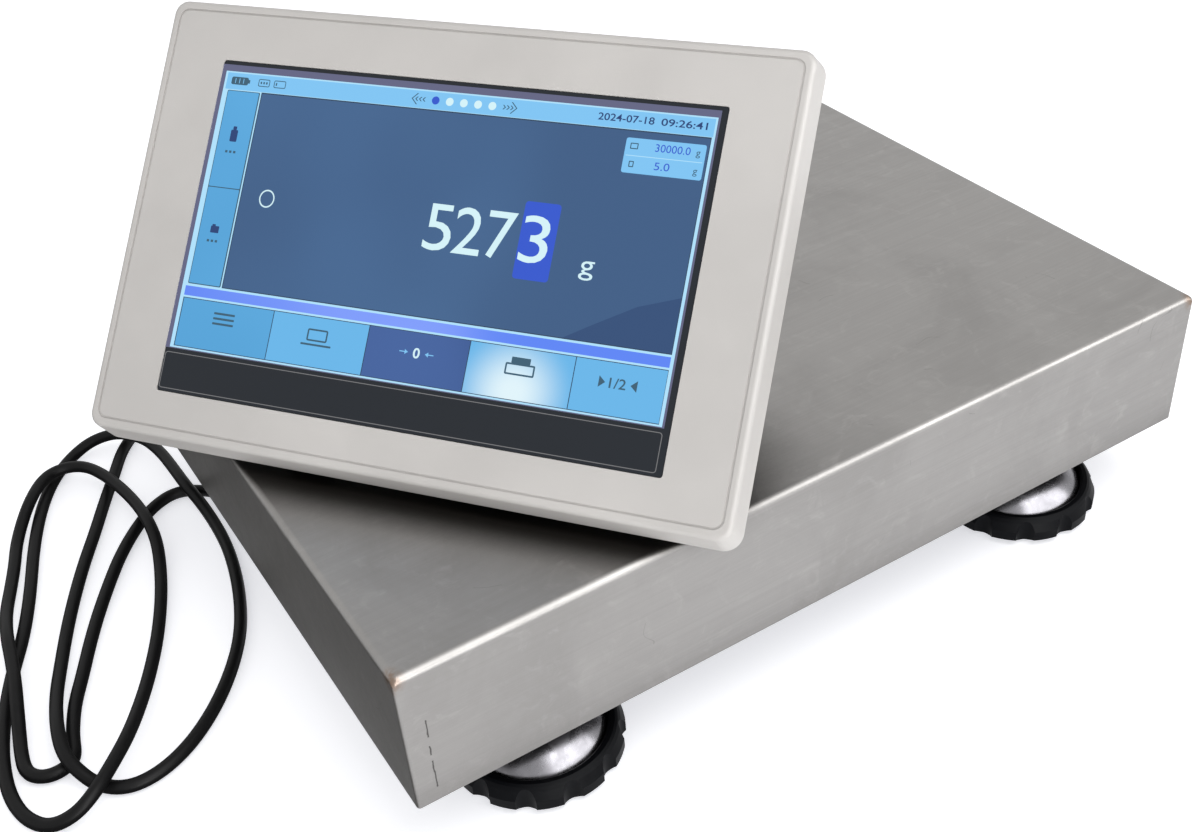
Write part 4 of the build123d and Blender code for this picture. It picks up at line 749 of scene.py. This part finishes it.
@dataclass
class Drawing:
    """Flat inked shapes laid on the display, in millimetres of the indicator's face."""

    depth: float = -0.4
    step: float = 0.03
    points: list[Vector] = field(default_factory=list)
    faces: list[tuple[int, ...]] = field(default_factory=list)
    inks: list[Ink] = field(default_factory=list)

    def polygon(self, outline: list[Point2], ink: Ink, level: Layer) -> None:
        """Lay one filled outline.

        Args:
            outline: its points, counter-clockwise.
            ink: the ink to use.
            level: the level over the display.
        """
        start = len(self.points)
        self.points += [FACE.point(u, v, self.depth + self.step * level) for u, v in outline]
        self.faces.append(tuple(range(start, start + len(outline))))
        self.inks.append(ink)

    def plate(self, left: float, bottom: float, right: float, top: float, ink: Ink, level: Layer,
              radius: float = 0.0) -> None:
        """Lay a filled rectangle, with rounded corners if it has a radius."""
        self.polygon(rounded(left, bottom, right, top, radius), ink, level)

    def ring(self, outer: list[Point2], inner: list[Point2], ink: Ink, level: Layer) -> None:
        """Lay the band between two outlines.

        Args:
            outer, inner: the outlines, with the same number of points.
            ink: the ink to use.
            level: the level over the display.
        """
        start, count = len(self.points), len(outer)
        height = self.depth + self.step * level
        self.points += [FACE.point(u, v, height) for u, v in outer + inner]
        for i in range(count):
            j = (i + 1) % count
            self.faces.append((start + i, start + j, start + count + j, start + count + i))
            self.inks.append(ink)

    def outline(self, left: float, bottom: float, right: float, top: float, width: float, ink: Ink,
                level: Layer, radius: float) -> None:
        """Lay a rectangular line.

        Args:
            left, bottom, right, top: its outer edges.
            width: how wide the line is.
            ink: the ink to use.
            level: the level over the display.
            radius: the radius of its outer corners.
        """
        inside = rounded(left + width, bottom + width, right - width, top - width, max(radius - width, 0.05))
        self.ring(rounded(left, bottom, right, top, radius), inside, ink, level)

    def disc(self, u: float, v: float, radius: float, ink: Ink, level: Layer, hole: float = 0.0,
             squeeze: float = 1.0) -> None:
        """Lay a filled disc, or a ring if it has a hole.

        Args:
            u, v: its middle.
            radius: its radius.
            ink: the ink to use.
            level: the level over the display.
            hole: the hole's radius.
            squeeze: its breadth as a share of its height.
        """
        outer = circle(u, v, radius, squeeze)
        if hole:
            self.ring(outer, circle(u, v, hole, squeeze), ink, level)
        else:
            self.polygon(outer, ink, level)

    def writing(self, words: str, left: float, bottom: float, height: float, width: float, ink: Ink,
                level: Layer, weight: float = 0.0) -> None:
        """Lay digits or signs so that they fill a width and a height.

        Args:
            words: the signs to draw.
            left, bottom: the lower left corner.
            height, width: the size of the whole line.
            ink: the ink to use.
            level: the level over the display.
            weight: how much to thicken the strokes, as a share of the letter size.
        """
        curve = bpy.data.curves.new("signs", "FONT")
        curve.body = words
        curve.size = 1.0
        curve.offset = weight
        curve.resolution_u = 4
        letters = bpy.data.objects.new("signs", curve)
        bpy.context.scene.collection.objects.link(letters)
        bpy.context.view_layer.update()
        shape = bpy.data.meshes.new_from_object(letters.evaluated_get(bpy.context.evaluated_depsgraph_get()))
        xs, ys = [v.co.x for v in shape.vertices], [v.co.y for v in shape.vertices]
        low_x, low_y = min(xs), min(ys)
        by_x, by_y = width / (max(xs) - low_x), height / (max(ys) - low_y)
        start = len(self.points)
        rise = self.depth + self.step * level
        self.points += [FACE.point(left + (v.co.x - low_x) * by_x, bottom + (v.co.y - low_y) * by_y, rise)
                        for v in shape.vertices]
        for face in shape.polygons:
            self.faces.append(tuple(start + corner for corner in face.vertices))
            self.inks.append(ink)
        bpy.data.objects.remove(letters)
        bpy.data.curves.remove(curve)
        bpy.data.meshes.remove(shape)

    def build(self, name: str) -> bpy.types.Object:
        """Turn the shapes into one object whose faces look outwards.

        Args:
            name: the object's name.

        Returns:
            The finished piece.
        """
        used = list(dict.fromkeys(self.inks))
        choice = [used.index(ink) for ink in self.inks]
        piece = mesh_piece(name, self.points, self.faces, [ink.value.build() for ink in used], choice)
        outward = FACE.outward
        for face in piece.data.polygons:
            if face.normal.dot(outward) < 0:
                face.flip()
        piece.data.update()
        return piece


def rounded(left: float, bottom: float, right: float, top: float, radius: float = 0.0,
            steps: int = 5) -> list[Point2]:
    """Outline a rectangle, with rounded corners if it has a radius.

    Args:
        left, bottom, right, top: its edges.
        radius: the radius of its corners.
        steps: how many edges each rounded corner has.

    Returns:
        The points, counter-clockwise.
    """
    if radius <= 0:
        return [(left, bottom), (right, bottom), (right, top), (left, top)]
    outline = []
    corners = ((right - radius, top - radius, 0), (left + radius, top - radius, 90),
               (left + radius, bottom + radius, 180), (right - radius, bottom + radius, 270))
    for u, v, start in corners:
        for i in range(steps + 1):
            angle = math.radians(start + 90 * i / steps)
            outline.append((u + radius * math.cos(angle), v + radius * math.sin(angle)))
    return outline


def circle(u: float, v: float, radius: float, squeeze: float = 1.0, count: int = 32) -> list[Point2]:
    """Outline a circle, counter-clockwise and narrowed across to a share of its height."""
    turns = [2 * math.pi * i / count for i in range(count)]
    return [(u + radius * squeeze * math.cos(t), v + radius * math.sin(t)) for t in turns]


@dataclass
class Display:
    """The lit picture under the touch panel and the dark strip below it."""

    left: float = 31.1
    bottom: float = 37.2
    right: float = 243.7
    top: float = 154.6
    glass: tuple[float, float, float, float] = (29.4, 18.8, 247.1, 158.9)
    keys: tuple[float, ...] = (33.2, 76.0, 119.2, 162.8, 206.3, 242.6)

    def build(self) -> bpy.types.Object:
        """Draw every part of the picture.

        Returns:
            The picture as one piece.
        """
        art = Drawing()
        art.plate(self.left - 2.2, self.bottom - 0.4, self.right + 0.9, self.top + 2.8,
                  Ink.BORDER, Layer.BORDER)
        art.plate(self.left, self.bottom, self.right, self.top, Ink.SKY_PALE, Layer.GROUND)
        art.plate(self.left + 1.0, 147.0, self.right - 0.8, self.top - 0.6, Ink.SKY, Layer.GAP)
        self.status_bar(art)
        self.side_keys(art)
        self.readout(art)
        self.bottom_keys(art)
        self.strip(art)
        return art.build("display_picture")

    def status_bar(self, art: Drawing) -> None:
        """Lay battery, card and keypad signs, page dots with arrows, and plain date and time digits.

        Args:
            art: the drawing to lay them on.
        """
        middle = 150.6
        art.plate(34.4, 149.1, 42.4, 152.4, Ink.GREY, Layer.KEY, 0.8)
        art.plate(42.4, 150.0, 43.2, 151.5, Ink.GREY, Layer.KEY)
        for i in range(3):
            art.plate(36.2 + 1.9 * i, 149.7, 36.5 + 1.9 * i, 151.8, Ink.SKY, Layer.SIGN)
        for left, width in ((47.2, 5.4), (54.5, 5.6)):
            art.outline(left, 149.2, left + width, 152.4, 0.35, Ink.GREY, Layer.KEY, 0.7)
        for i in range(3):
            art.plate(48.2 + 1.3 * i, 150.3, 48.9 + 1.3 * i, 151.3, Ink.GREY, Layer.KEY)
        art.plate(55.4, 150.2, 56.0, 151.4, Ink.GREY, Layer.KEY)
        for side, tip in ((1, 117.3), (-1, 163.4)):
            for i in range(4):
                arm = 2.3 if i == 0 else 0.9
                u = tip + side * (1.6 * i + 0.2)
                chevron = [(u, middle), (u + side * arm, middle + arm),
                           (u + side * (arm + 0.55), middle + arm), (u + side * 0.55, middle),
                           (u + side * (arm + 0.55), middle - arm), (u + side * arm, middle - arm)]
                art.polygon(chevron, Ink.GREY, Layer.KEY)
        for i in range(5):
            art.disc(128.1 + 6.12 * i, middle, 1.65, Ink.CURSOR if i == 0 else Ink.WHITE, Layer.KEY)
        art.writing("2024-07-18", 196.7, 149.4, 2.9, 22.6, Ink.NAVY, Layer.KEY, 0.012)
        art.writing("09:26:41", 222.0, 149.4, 2.9, 18.2, Ink.NAVY, Layer.KEY, 0.012)

    def side_keys(self, art: Drawing) -> None:
        """Lay two tall keys at the left, with the signs of a weight and a folder.

        Args:
            art: the drawing to lay them on.
        """
        art.plate(33.5, 64.2, 49.0, 146.6, Ink.GREY, Layer.GAP, 0.6)
        art.plate(33.8, 64.6, 48.5, 105.2, Ink.KEY, Layer.KEY, 0.4)
        art.plate(33.8, 105.6, 48.5, 146.3, Ink.KEY, Layer.KEY, 0.4)
        art.plate(39.1, 125.0, 42.4, 130.0, Ink.NAVY, Layer.SIGN, 0.5)
        art.plate(39.9, 130.0, 41.6, 131.5, Ink.NAVY, Layer.SIGN, 0.3)
        art.plate(38.9, 86.3, 42.8, 89.2, Ink.NAVY, Layer.SIGN, 0.3)
        art.plate(39.4, 89.2, 41.0, 89.9, Ink.NAVY, Layer.SIGN, 0.2)
        for foot in (120.2, 82.4):
            for i in range(3):
                art.plate(38.2 + 1.9 * i, foot, 39.3 + 1.9 * i, foot + 1.0, Ink.GREY, Layer.SIGN)

    def readout(self, art: Drawing) -> None:
        """Lay the large digits on slate blue, a darker patch at the lower right as painted reflection, the
        still sign and the range box.

        Args:
            art: the drawing to lay them on.
        """
        art.plate(49.6, 64.1, 242.5, 146.8, Ink.LINE_DARK, Layer.GAP)
        art.plate(50.0, 64.5, 242.2, 146.3, Ink.SLATE, Layer.KEY)
        # painted reflection: a darker slate patch at the readout's lower right, drawn in the screen's ink
        shadow = [(199.0, 64.5), (242.2, 64.5), (242.2, 85.5), (226.0, 80.0), (210.0, 71.0)]
        art.polygon(shadow, Ink.SLATE_DARK, Layer.SIGN)
        art.disc(62.0, 103.1, 3.75, Ink.WHITE, Layer.SIGN, 3.15, 0.94)
        art.plate(174.2, 84.4, 189.0, 114.9, Ink.CURSOR, Layer.SIGN, 1.4)
        digits = (("5", 134.2, 11.6), ("2", 146.8, 11.8), ("7", 160.4, 11.8), ("3", 174.9, 11.6))
        for sign, left, width in digits:
            art.writing(sign, left, 91.0, 18.6, width, Ink.WHITE, Layer.TOP)
        art.writing("g", 200.6, 87.2, 7.4, 5.8, Ink.WHITE, Layer.SIGN)
        art.plate(209.7, 130.1, 241.3, 143.7, Ink.SKY, Layer.SIGN, 0.9)
        art.plate(210.4, 136.7, 240.6, 137.0, Ink.SKY_PALE, Layer.TOP)
        for words, u, v, width in (("30000.0", 221.6, 139.2, 13.8), ("5.0", 222.4, 132.2, 6.0)):
            art.writing(words, u, v, 3.0, width, Ink.CURSOR, Layer.TOP)
            art.writing("g", 237.6, v - 0.8, 2.6, 1.7, Ink.GREY, Layer.TOP)
        art.outline(211.6, 139.4, 214.8, 141.8, 0.4, Ink.GREY, Layer.TOP, 0.3)
        art.outline(212.2, 132.4, 214.2, 134.8, 0.4, Ink.GREY, Layer.TOP, 0.3)
        art.plate(32.8, 59.2, 242.4, 63.2, Ink.STRIPE, Layer.KEY)

    def bottom_keys(self, art: Drawing) -> None:
        """Lay five touch keys with plain signs.

        Args:
            art: the drawing to lay them on.
        """
        # the fourth key carries the painted glare
        inks = (Ink.KEY, Ink.KEY_PALE, Ink.KEY_DARK, Ink.KEY_LIT, Ink.KEY_PALE)
        art.plate(32.8, 37.9, 242.4, 58.4, Ink.LINE_DARK, Layer.GAP)
        for i, ink in enumerate(inks):
            art.plate(self.keys[i], 38.2, self.keys[i + 1] - 0.35, 58.1, ink, Layer.KEY)
        for i in range(3):
            art.plate(48.6, 48.9 + 2.1 * i, 58.4, 49.8 + 2.1 * i, Ink.GREY, Layer.SIGN, 0.3)
        art.outline(92.4, 48.4, 101.6, 53.4, 0.7, Ink.GREY, Layer.SIGN, 0.8)
        art.plate(90.2, 46.6, 103.8, 47.4, Ink.GREY, Layer.SIGN, 0.3)
        art.writing("0", 139.5, 48.0, 4.2, 2.9, Ink.WHITE, Layer.SIGN, 0.02)
        for side, u in ((-1, 137.2), (1, 144.7)):
            art.plate(min(u, u + 3.6 * side), 49.9, max(u, u + 3.6 * side), 50.3, Ink.SKY, Layer.SIGN)
            tip = [(u, 50.1), (u + side * 1.3, 51.1), (u + side * 1.3, 49.1)]
            art.polygon(tip, Ink.SKY, Layer.TOP)
        art.outline(178.4, 47.6, 190.6, 52.2, 0.7, Ink.GREY, Layer.SIGN, 0.6)
        art.plate(180.6, 52.2, 188.4, 54.6, Ink.GREY, Layer.SIGN, 0.2)
        for side, u in ((1, 219.0), (-1, 229.0)):
            art.polygon([(u, 50.4), (u - side * 2.6, 52.6), (u - side * 2.6, 48.2)], Ink.GREY, Layer.SIGN)
        art.writing("1/2", 220.6, 48.4, 4.0, 6.6, Ink.GREY, Layer.SIGN, 0.01)

    def strip(self, art: Drawing) -> None:
        """Lay the thin pale line around the dark strip at the panel's foot."""
        left, bottom, right, _ = self.glass
        art.outline(left + 0.3, bottom + 1.2, right - 2.6, 35.2, 0.32, Ink.OUTLINE, Layer.GROUND, 1.3)


@dataclass
class SignalCord:
    """The loose black cord from the gland under the pan to the plug behind the indicator."""

    diameter: float = 0.006
    lay: float = 3.3
    hump: float = 10.4
    plug_back: float = -89.8
    lead_out: float = 18.0

    def route(self) -> list[Vector]:
        """Lay out the route from the gland to the plug.

        Returns:
            Its points, in metres.
        """
        low, high = self.lay, self.hump
        under_pan = [
            (96, 215, 45), (82, 215, 45), (63, 218, 35), (46, 226, 17), (32, 239, 4.5), (20, 257, low),
            (9, 273, low)]
        first_loop = [
            (-4.5, 282, low), (-19, 277, low), (-31.5, 265.5, low), (-44, 250.5, low), (-55, 233.5, low),
            (-66, 215, low), (-75, 198, low), (-83.5, 180.5, low), (-90.5, 167, low), (-94.5, 156.5, low),
            (-97.5, 146.5, low), (-99.5, 136, low), (-104.5, 132, low), (-111, 131.5, low),
            (-116.5, 134.5, low), (-119.5, 140.5, low), (-118.5, 151, low), (-116, 162.5, 4.5),
            (-113, 173, 8.5), (-110, 186, high), (-107.5, 202, high), (-105.5, 219, high),
            (-102, 240, 5.5), (-96, 258, low), (-90, 274, low), (-85, 290, low), (-77.5, 303, 6.5),
            (-70.5, 311, high), (-63, 321.5, high), (-55.5, 327, high), (-46, 327, high),
            (-38, 321, high), (-32.5, 308, high), (-28.5, 291.5, high), (-26, 274.5, high),
            (-25.5, 257, high), (-26.5, 244.5, 7), (-30.5, 230, low)]
        second_loop = [
            (-37, 209.5, low), (-46, 187, low), (-56.5, 166, low), (-67, 146, 6), (-77.5, 127, high),
            (-88.5, 115, high), (-98.5, 105, high), (-108.5, 101.5, 7), (-119, 105, low),
            (-126, 115, low), (-128.5, 130, low), (-127, 147, low), (-123, 165, low), (-116.5, 184, low),
            (-109, 202, low), (-100, 220, low), (-92.5, 239, low), (-86, 258, low), (-80, 277, low),
            (-73, 296, low), (-65, 314, low), (-55.5, 330, low), (-42.5, 344, low), (-28.5, 346.5, 7.5),
            (-15.5, 340.5, high), (-6, 328, high), (-2, 311, high), (-1, 292.5, high),
            (-0.5, 274.5, high), (2, 262.5, 6), (3, 247, low)]
        third_loop = [
            (2, 226, low), (-1.5, 205, low), (-7, 184, low), (-15, 163, low), (-26.5, 144, low),
            (-41, 126.5, low), (-57, 113, low), (-72.5, 106, low), (-86, 106, low), (-96, 114.5, low),
            (-101.5, 124, 8.5), (-103.5, 134.5, high), (-101.5, 150.5, high), (-97, 171, 7),
            (-89.5, 193.5, low)]
        to_indicator = [
            (-81, 214, low), (-71.5, 234.5, low), (-61, 255, low), (-49.5, 275, low), (-38.5, 295.5, low),
            (-27, 315.5, low), (-17.5, 333, low), (-6, 345.5, low), (9, 350, low), (24, 346.5, 4.5),
            (37, 340, 13), (47, 335, 28), (56, 330, 47), (63, 325, 67), (71, 319, 87), (81, 312, 104),
            (93, 301, 117), (104, 287, 124.5), (112, 271.5, 129)]
        points = [bench(*p) for p in under_pan + first_loop + second_loop + third_loop + to_indicator]
        points += [FACE.point(*PLUG_PLACE, self.plug_back - self.lead_out),
                   FACE.point(*PLUG_PLACE, self.plug_back)]
        return points

    def build(self) -> None:
        points = self.route()
        curve = bpy.data.curves.new("signal_cord", "CURVE")
        curve.dimensions = "3D"
        spline = curve.splines.new("NURBS")
        spline.points.add(len(points) - 1)
        for spot, point in zip(spline.points, points):
            spot.co = (*point, 1.0)
        spline.order_u = 3
        spline.use_endpoint_u = True
        spline.resolution_u = 6
        curve.bevel_depth = self.diameter / 2
        curve.bevel_resolution = 5
        curve.use_fill_caps = True
        cord = bpy.data.objects.new("signal_cord", curve)
        bpy.context.scene.collection.objects.link(cord)
        curve.materials.append(Finishes.jacket.build())
        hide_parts("cord")
        finish_piece(cord, "base")
        tuple(points[0])


class CadDress:
    """Gives each carried-over CAD node its finish."""

    wear: dict[str, Finish] = {
        "pan": Finishes.cover, "spider": Finishes.paint, "spacer_upper": Finishes.zinc,
        "spacer_lower": Finishes.zinc, "cell_screws_upper": Finishes.zinc, "cell_screws_lower": Finishes.zinc,
        "load_cell": Finishes.cell, "gauge_potting": Finishes.sealing, "base_rail_front": Finishes.paint,
        "base_rail_rear": Finishes.paint, "rail_caps": Finishes.grip, "foot_bosses": Finishes.zinc,
        "foot_locknuts": Finishes.zinc, "base_plate": Finishes.paint, "overload_stops": Finishes.zinc,
        "stop_locknuts": Finishes.zinc, "level_cup": Finishes.rear, "level_vial": Finishes.vial,
        "gland_body": Finishes.grip, "gland_cap": Finishes.grip, "gland_nut": Finishes.grip,
        "cell_lead": Finishes.jacket, "cord": Finishes.jacket, "plug_ring": Finishes.nickel,
        "plug_shell": Finishes.grip, "plug_boot": Finishes.rubber, "pan_bumpers": Finishes.rubber,
        "bezel": Finishes.case, "glass_panel": Finishes.glass, "lcd_module": Finishes.chip,
        "display_frame": Finishes.zinc, "rear_cover": Finishes.rear, "battery_door": Finishes.rear,
        "battery_door_screw": Finishes.zinc, "case_screws": Finishes.zinc, "main_board": Finishes.board,
        "battery_pack": Finishes.wrap, "top_clips": Finishes.clip, "signal_socket": Finishes.nickel,
        "socket_nut": Finishes.nickel, "dc_jack": Finishes.grip, "serial_port": Finishes.nickel,
        "power_button": Finishes.grip, "button_switch": Finishes.chip, "stand_pin": Finishes.zinc,
        "indicator_feet": Finishes.rubber, "stand_leg": Finishes.rear, "stand_tips": Finishes.rubber}

    def apply(self) -> None:
        """Assign every node's finish to its material slots."""
        for name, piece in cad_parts.items():
            finish = self.wear.get(name) or self.foot(name)
            material = finish.build()
            if not piece.material_slots:
                piece.data.materials.append(material)
            for slot in piece.material_slots:
                slot.material = material
            log.info("%s wears %s", name, finish.name)

    @staticmethod
    def foot(name: str) -> Finish:
        """Choose the finish of a levelling foot's piece.

        Args:
            name: the node's name.

        Returns:
            The finish.
        """
        if name.endswith("_dome"):
            return Finishes.dome
        return Finishes.grip if name.endswith("_knob") else Finishes.rubber


@dataclass
class RibTree:
    """A Geometry Nodes tree that sets small rounded ribs around an axis."""

    name: str
    count: int
    radius: float
    length: float
    width: float
    sides: int = 8

    def tree(self, material: bpy.types.Material) -> tuple[bpy.types.NodeTree, dict[str, str]]:
        """Build the tree.

        Args:
            material: what the ribs wear.

        Returns:
            The tree and each input's identifier by its name.
        """
        made = bpy.data.node_groups.new(self.name, "GeometryNodeTree")
        face = made.interface
        face.new_socket("Geometry", in_out="INPUT", socket_type="NodeSocketGeometry")
        face.new_socket("Count", in_out="INPUT", socket_type="NodeSocketInt")
        for label in ("Radius", "Length", "Width"):
            face.new_socket(label, in_out="INPUT", socket_type="NodeSocketFloat")
        face.new_socket("Geometry", in_out="OUTPUT", socket_type="NodeSocketGeometry")
        sheet = NodeSheet(made)
        entry, leave = sheet.add("NodeGroupInput"), sheet.add("NodeGroupOutput")
        ring = sheet.add("GeometryNodeMeshCircle")
        sheet.feed(ring.inputs["Vertices"], entry.outputs["Count"])
        sheet.feed(ring.inputs["Radius"], entry.outputs["Radius"])
        rib = sheet.add("GeometryNodeMeshCylinder")
        rib.inputs["Vertices"].default_value = self.sides
        sheet.feed(rib.inputs["Radius"], entry.outputs["Width"])
        sheet.feed(rib.inputs["Depth"], entry.outputs["Length"])
        spread = sheet.add("GeometryNodeInstanceOnPoints")
        sheet.feed(spread.inputs["Points"], ring.outputs[0])
        sheet.feed(spread.inputs["Instance"], rib.outputs[0])
        real = sheet.add("GeometryNodeRealizeInstances")
        sheet.feed(real.inputs[0], spread.outputs[0])
        wear = sheet.add("GeometryNodeSetMaterial")
        wear.inputs["Material"].default_value = material
        sheet.feed(wear.inputs["Geometry"], real.outputs[0])
        sheet.feed(leave.inputs[0], wear.outputs[0])
        known = {item.name: item.identifier for item in face.items_tree if item.in_out == "INPUT"}
        return made, known

    def build(self, place: Matrix, material: bpy.types.Material) -> bpy.types.Object:
        """Make the ribs as a plain mesh at a place.

        Args:
            place: where the axis stands; its Z is the axis.
            material: what the ribs wear.

        Returns:
            The finished piece.
        """
        tree, known = self.tree(material)
        carrier = bpy.data.objects.new(self.name + "_carrier", bpy.data.meshes.new(self.name + "_carrier"))
        bpy.context.scene.collection.objects.link(carrier)
        modifier = carrier.modifiers.new("ribs", "NODES")
        modifier.node_group = tree
        modifier[known["Count"]] = self.count
        modifier[known["Radius"]] = self.radius
        modifier[known["Length"]] = self.length
        modifier[known["Width"]] = self.width
        bpy.context.view_layer.update()
        shape = bpy.data.meshes.new_from_object(carrier.evaluated_get(bpy.context.evaluated_depsgraph_get()))
        bpy.data.objects.remove(carrier)
        shape.transform(place)
        shape.name = self.name
        piece = bpy.data.objects.new(self.name, shape)
        bpy.context.scene.collection.objects.link(piece)
        return piece


@dataclass(frozen=True)
class Card:
    """A rectangle that only shows as a reflection in shiny surfaces, in metres.

    The along and across steps lead from its first corner to the next ones, and the glow is how
    bright its reflection is.
    """

    name: str
    corner: Point3
    along: Point3
    across: Point3
    glow: float

    def build(self) -> None:
        """Stand the card on the stage."""
        material = bpy.data.materials.new(self.name)
        material.use_nodes = True
        shader = material.node_tree.nodes["Principled BSDF"]
        shader.inputs["Base Color"].default_value = (0.0, 0.0, 0.0, 1.0)
        shader.inputs["Specular IOR Level"].default_value = 0.0
        shader.inputs["Emission Color"].default_value = (1.0, 1.0, 1.0, 1.0)
        shader.inputs["Emission Strength"].default_value = self.glow
        first, along, across = Vector(self.corner), Vector(self.along), Vector(self.across)
        corners = [first, first + along, first + along + across, first + across]
        piece = mesh_piece(self.name, corners, [(0, 1, 2, 3)], [material])
        piece.visible_camera = False
        piece.visible_diffuse = False
        piece.visible_transmission = False
        piece.visible_shadow = False
        piece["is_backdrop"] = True


@dataclass(frozen=True)
class Lamp:
    """A soft rectangular lamp: where it hangs, what it points at and its size in metres, and its watts."""

    name: str
    place: Point3
    aim: Point3
    size: Point2
    power: float

    def build(self) -> None:
        """Hang the lamp."""
        data = bpy.data.lights.new(self.name, "AREA")
        data.shape = "RECTANGLE"
        data.size, data.size_y = self.size
        data.energy = self.power
        made = bpy.data.objects.new(self.name, data)
        bpy.context.scene.collection.objects.link(made)
        made.location = self.place
        made.rotation_euler = (Vector(self.aim) - Vector(self.place)).to_track_quat("-Z", "Y").to_euler()


@dataclass
class Studio:
    """The floor, the lamps, the world and the camera.

    The camera's place is in metres. Its turns, in degrees, are how far it looks up from straight
    down, how it leans and where it faces.
    """

    place: Point3 = (-0.28374, -0.49065, 0.47815)
    turns: Point3 = (53.067, 3.777, -32.079)
    lens: float = 44.52
    floor_half: float = 3.0

    def camera(self) -> None:
        """Stand the camera where the photograph was taken from."""
        data = bpy.data.cameras.new("view")
        data.sensor_width = 36.0
        data.lens = self.lens
        data.clip_start = 0.01
        eye = bpy.data.objects.new("view", data)
        bpy.context.scene.collection.objects.link(eye)
        turned = Euler([math.radians(angle) for angle in self.turns]).to_matrix().to_4x4()
        turned.translation = self.place
        eye.matrix_world = turned
        bpy.context.scene.camera = eye

    @staticmethod
    def plain_view(sheet: NodeSheet) -> Socket:
        """Tell rays from the camera, a glossy surface or glass from the rest.

        Args:
            sheet: the material's or the world's sheet.

        Returns:
            One for such a ray and zero for any other.
        """
        path = sheet.add("ShaderNodeLightPath")
        seen = sheet.math("MAXIMUM", path.outputs["Is Camera Ray"], path.outputs["Is Glossy Ray"])
        return sheet.math("MAXIMUM", seen, path.outputs["Is Transmission Ray"])

    def world(self) -> None:
        """A white surround for the eye and a plain level of light for the object."""
        world = bpy.data.worlds.new("surround")
        bpy.context.scene.world = world
        world.use_nodes = True
        sheet = NodeSheet(world.node_tree)
        shade = world.node_tree.nodes["Background"]
        shade.inputs["Color"].default_value = (1.0, 1.0, 1.0, 1.0)
        seen = self.plain_view(sheet)
        sheet.feed(shade.inputs["Strength"], sheet.math("ADD", sheet.math("MULTIPLY", seen, 0.32), 0.68))

    def floor(self) -> None:
        """A pale floor that keeps the object's shadow."""
        half = self.floor_half
        corners = [Vector((x * half, y * half, 0)) for x, y in ((-1, -1), (1, -1), (1, 1), (-1, 1))]
        material = bpy.data.materials.new("studio_floor")
        material.use_nodes = True
        sheet = NodeSheet(material.node_tree)
        shader = material.node_tree.nodes["Principled BSDF"]
        shader.inputs["Base Color"].default_value = (0.86, 0.86, 0.86, 1.0)
        shader.inputs["Roughness"].default_value = 0.9
        shader.inputs["Specular IOR Level"].default_value = 0.0
        shader.inputs["Emission Color"].default_value = (0.94, 0.95, 1.0, 1.0)
        glow = sheet.math("ADD", sheet.math("MULTIPLY", self.plain_view(sheet), 0.42), 0.16)
        sheet.feed(shader.inputs["Emission Strength"], glow)
        piece = mesh_piece("studio_floor", corners, [(0, 1, 2, 3)], [material])
        piece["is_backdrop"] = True

    def build(self) -> None:
        """Set up the whole studio."""
        bpy.context.scene.view_settings.view_transform = "Standard"
        self.camera()
        self.world()
        self.floor()
        Lamp("top_lamp", place=(0.2, -0.7, 1.6), aim=(0.0, 0.0, 0.1), size=(0.9, 0.9), power=7.0).build()
        Card("front_card", corner=(-0.3, -1.2, 0.45), along=(2.5, 0.0, 0.0), across=(0.0, 0.0, 1.45),
             glow=5.0).build()
        Lamp("low_lamp", place=(-0.2, -1.3, 0.16), aim=(0.0, 0.0, 0.1), size=(0.9, 0.3), power=8.0).build()
        Card("left_card", corner=(-0.62, -0.15, 0.0002), along=(0.434, 0.0, 0.0), across=(0.0, 0.9, 0.0),
             glow=0.13).build()


def main() -> None:
    """Build the studio, dress the frame and add every new piece."""
    logging.basicConfig(level=logging.INFO, format="%(name)s %(message)s")
    Effects.build()
    Studio().build()
    SignalCord().build()
    CadDress().apply()
    finish_piece(Display().build(), "indicator")
    ribs = RibTree("plug_ribs", count=24, radius=9.25 * MM, length=9.0 * MM, width=0.45 * MM)
    around_ring = FACE.matrix(*PLUG_PLACE, PLUG_RING_DEPTH)
    finish_piece(ribs.build(around_ring, Finishes.nickel.build()), "base")
    boxes = [[list(corner) for corner in box] for box in (CAD_BOX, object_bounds())]


if __name__ == "__main__":
    main()
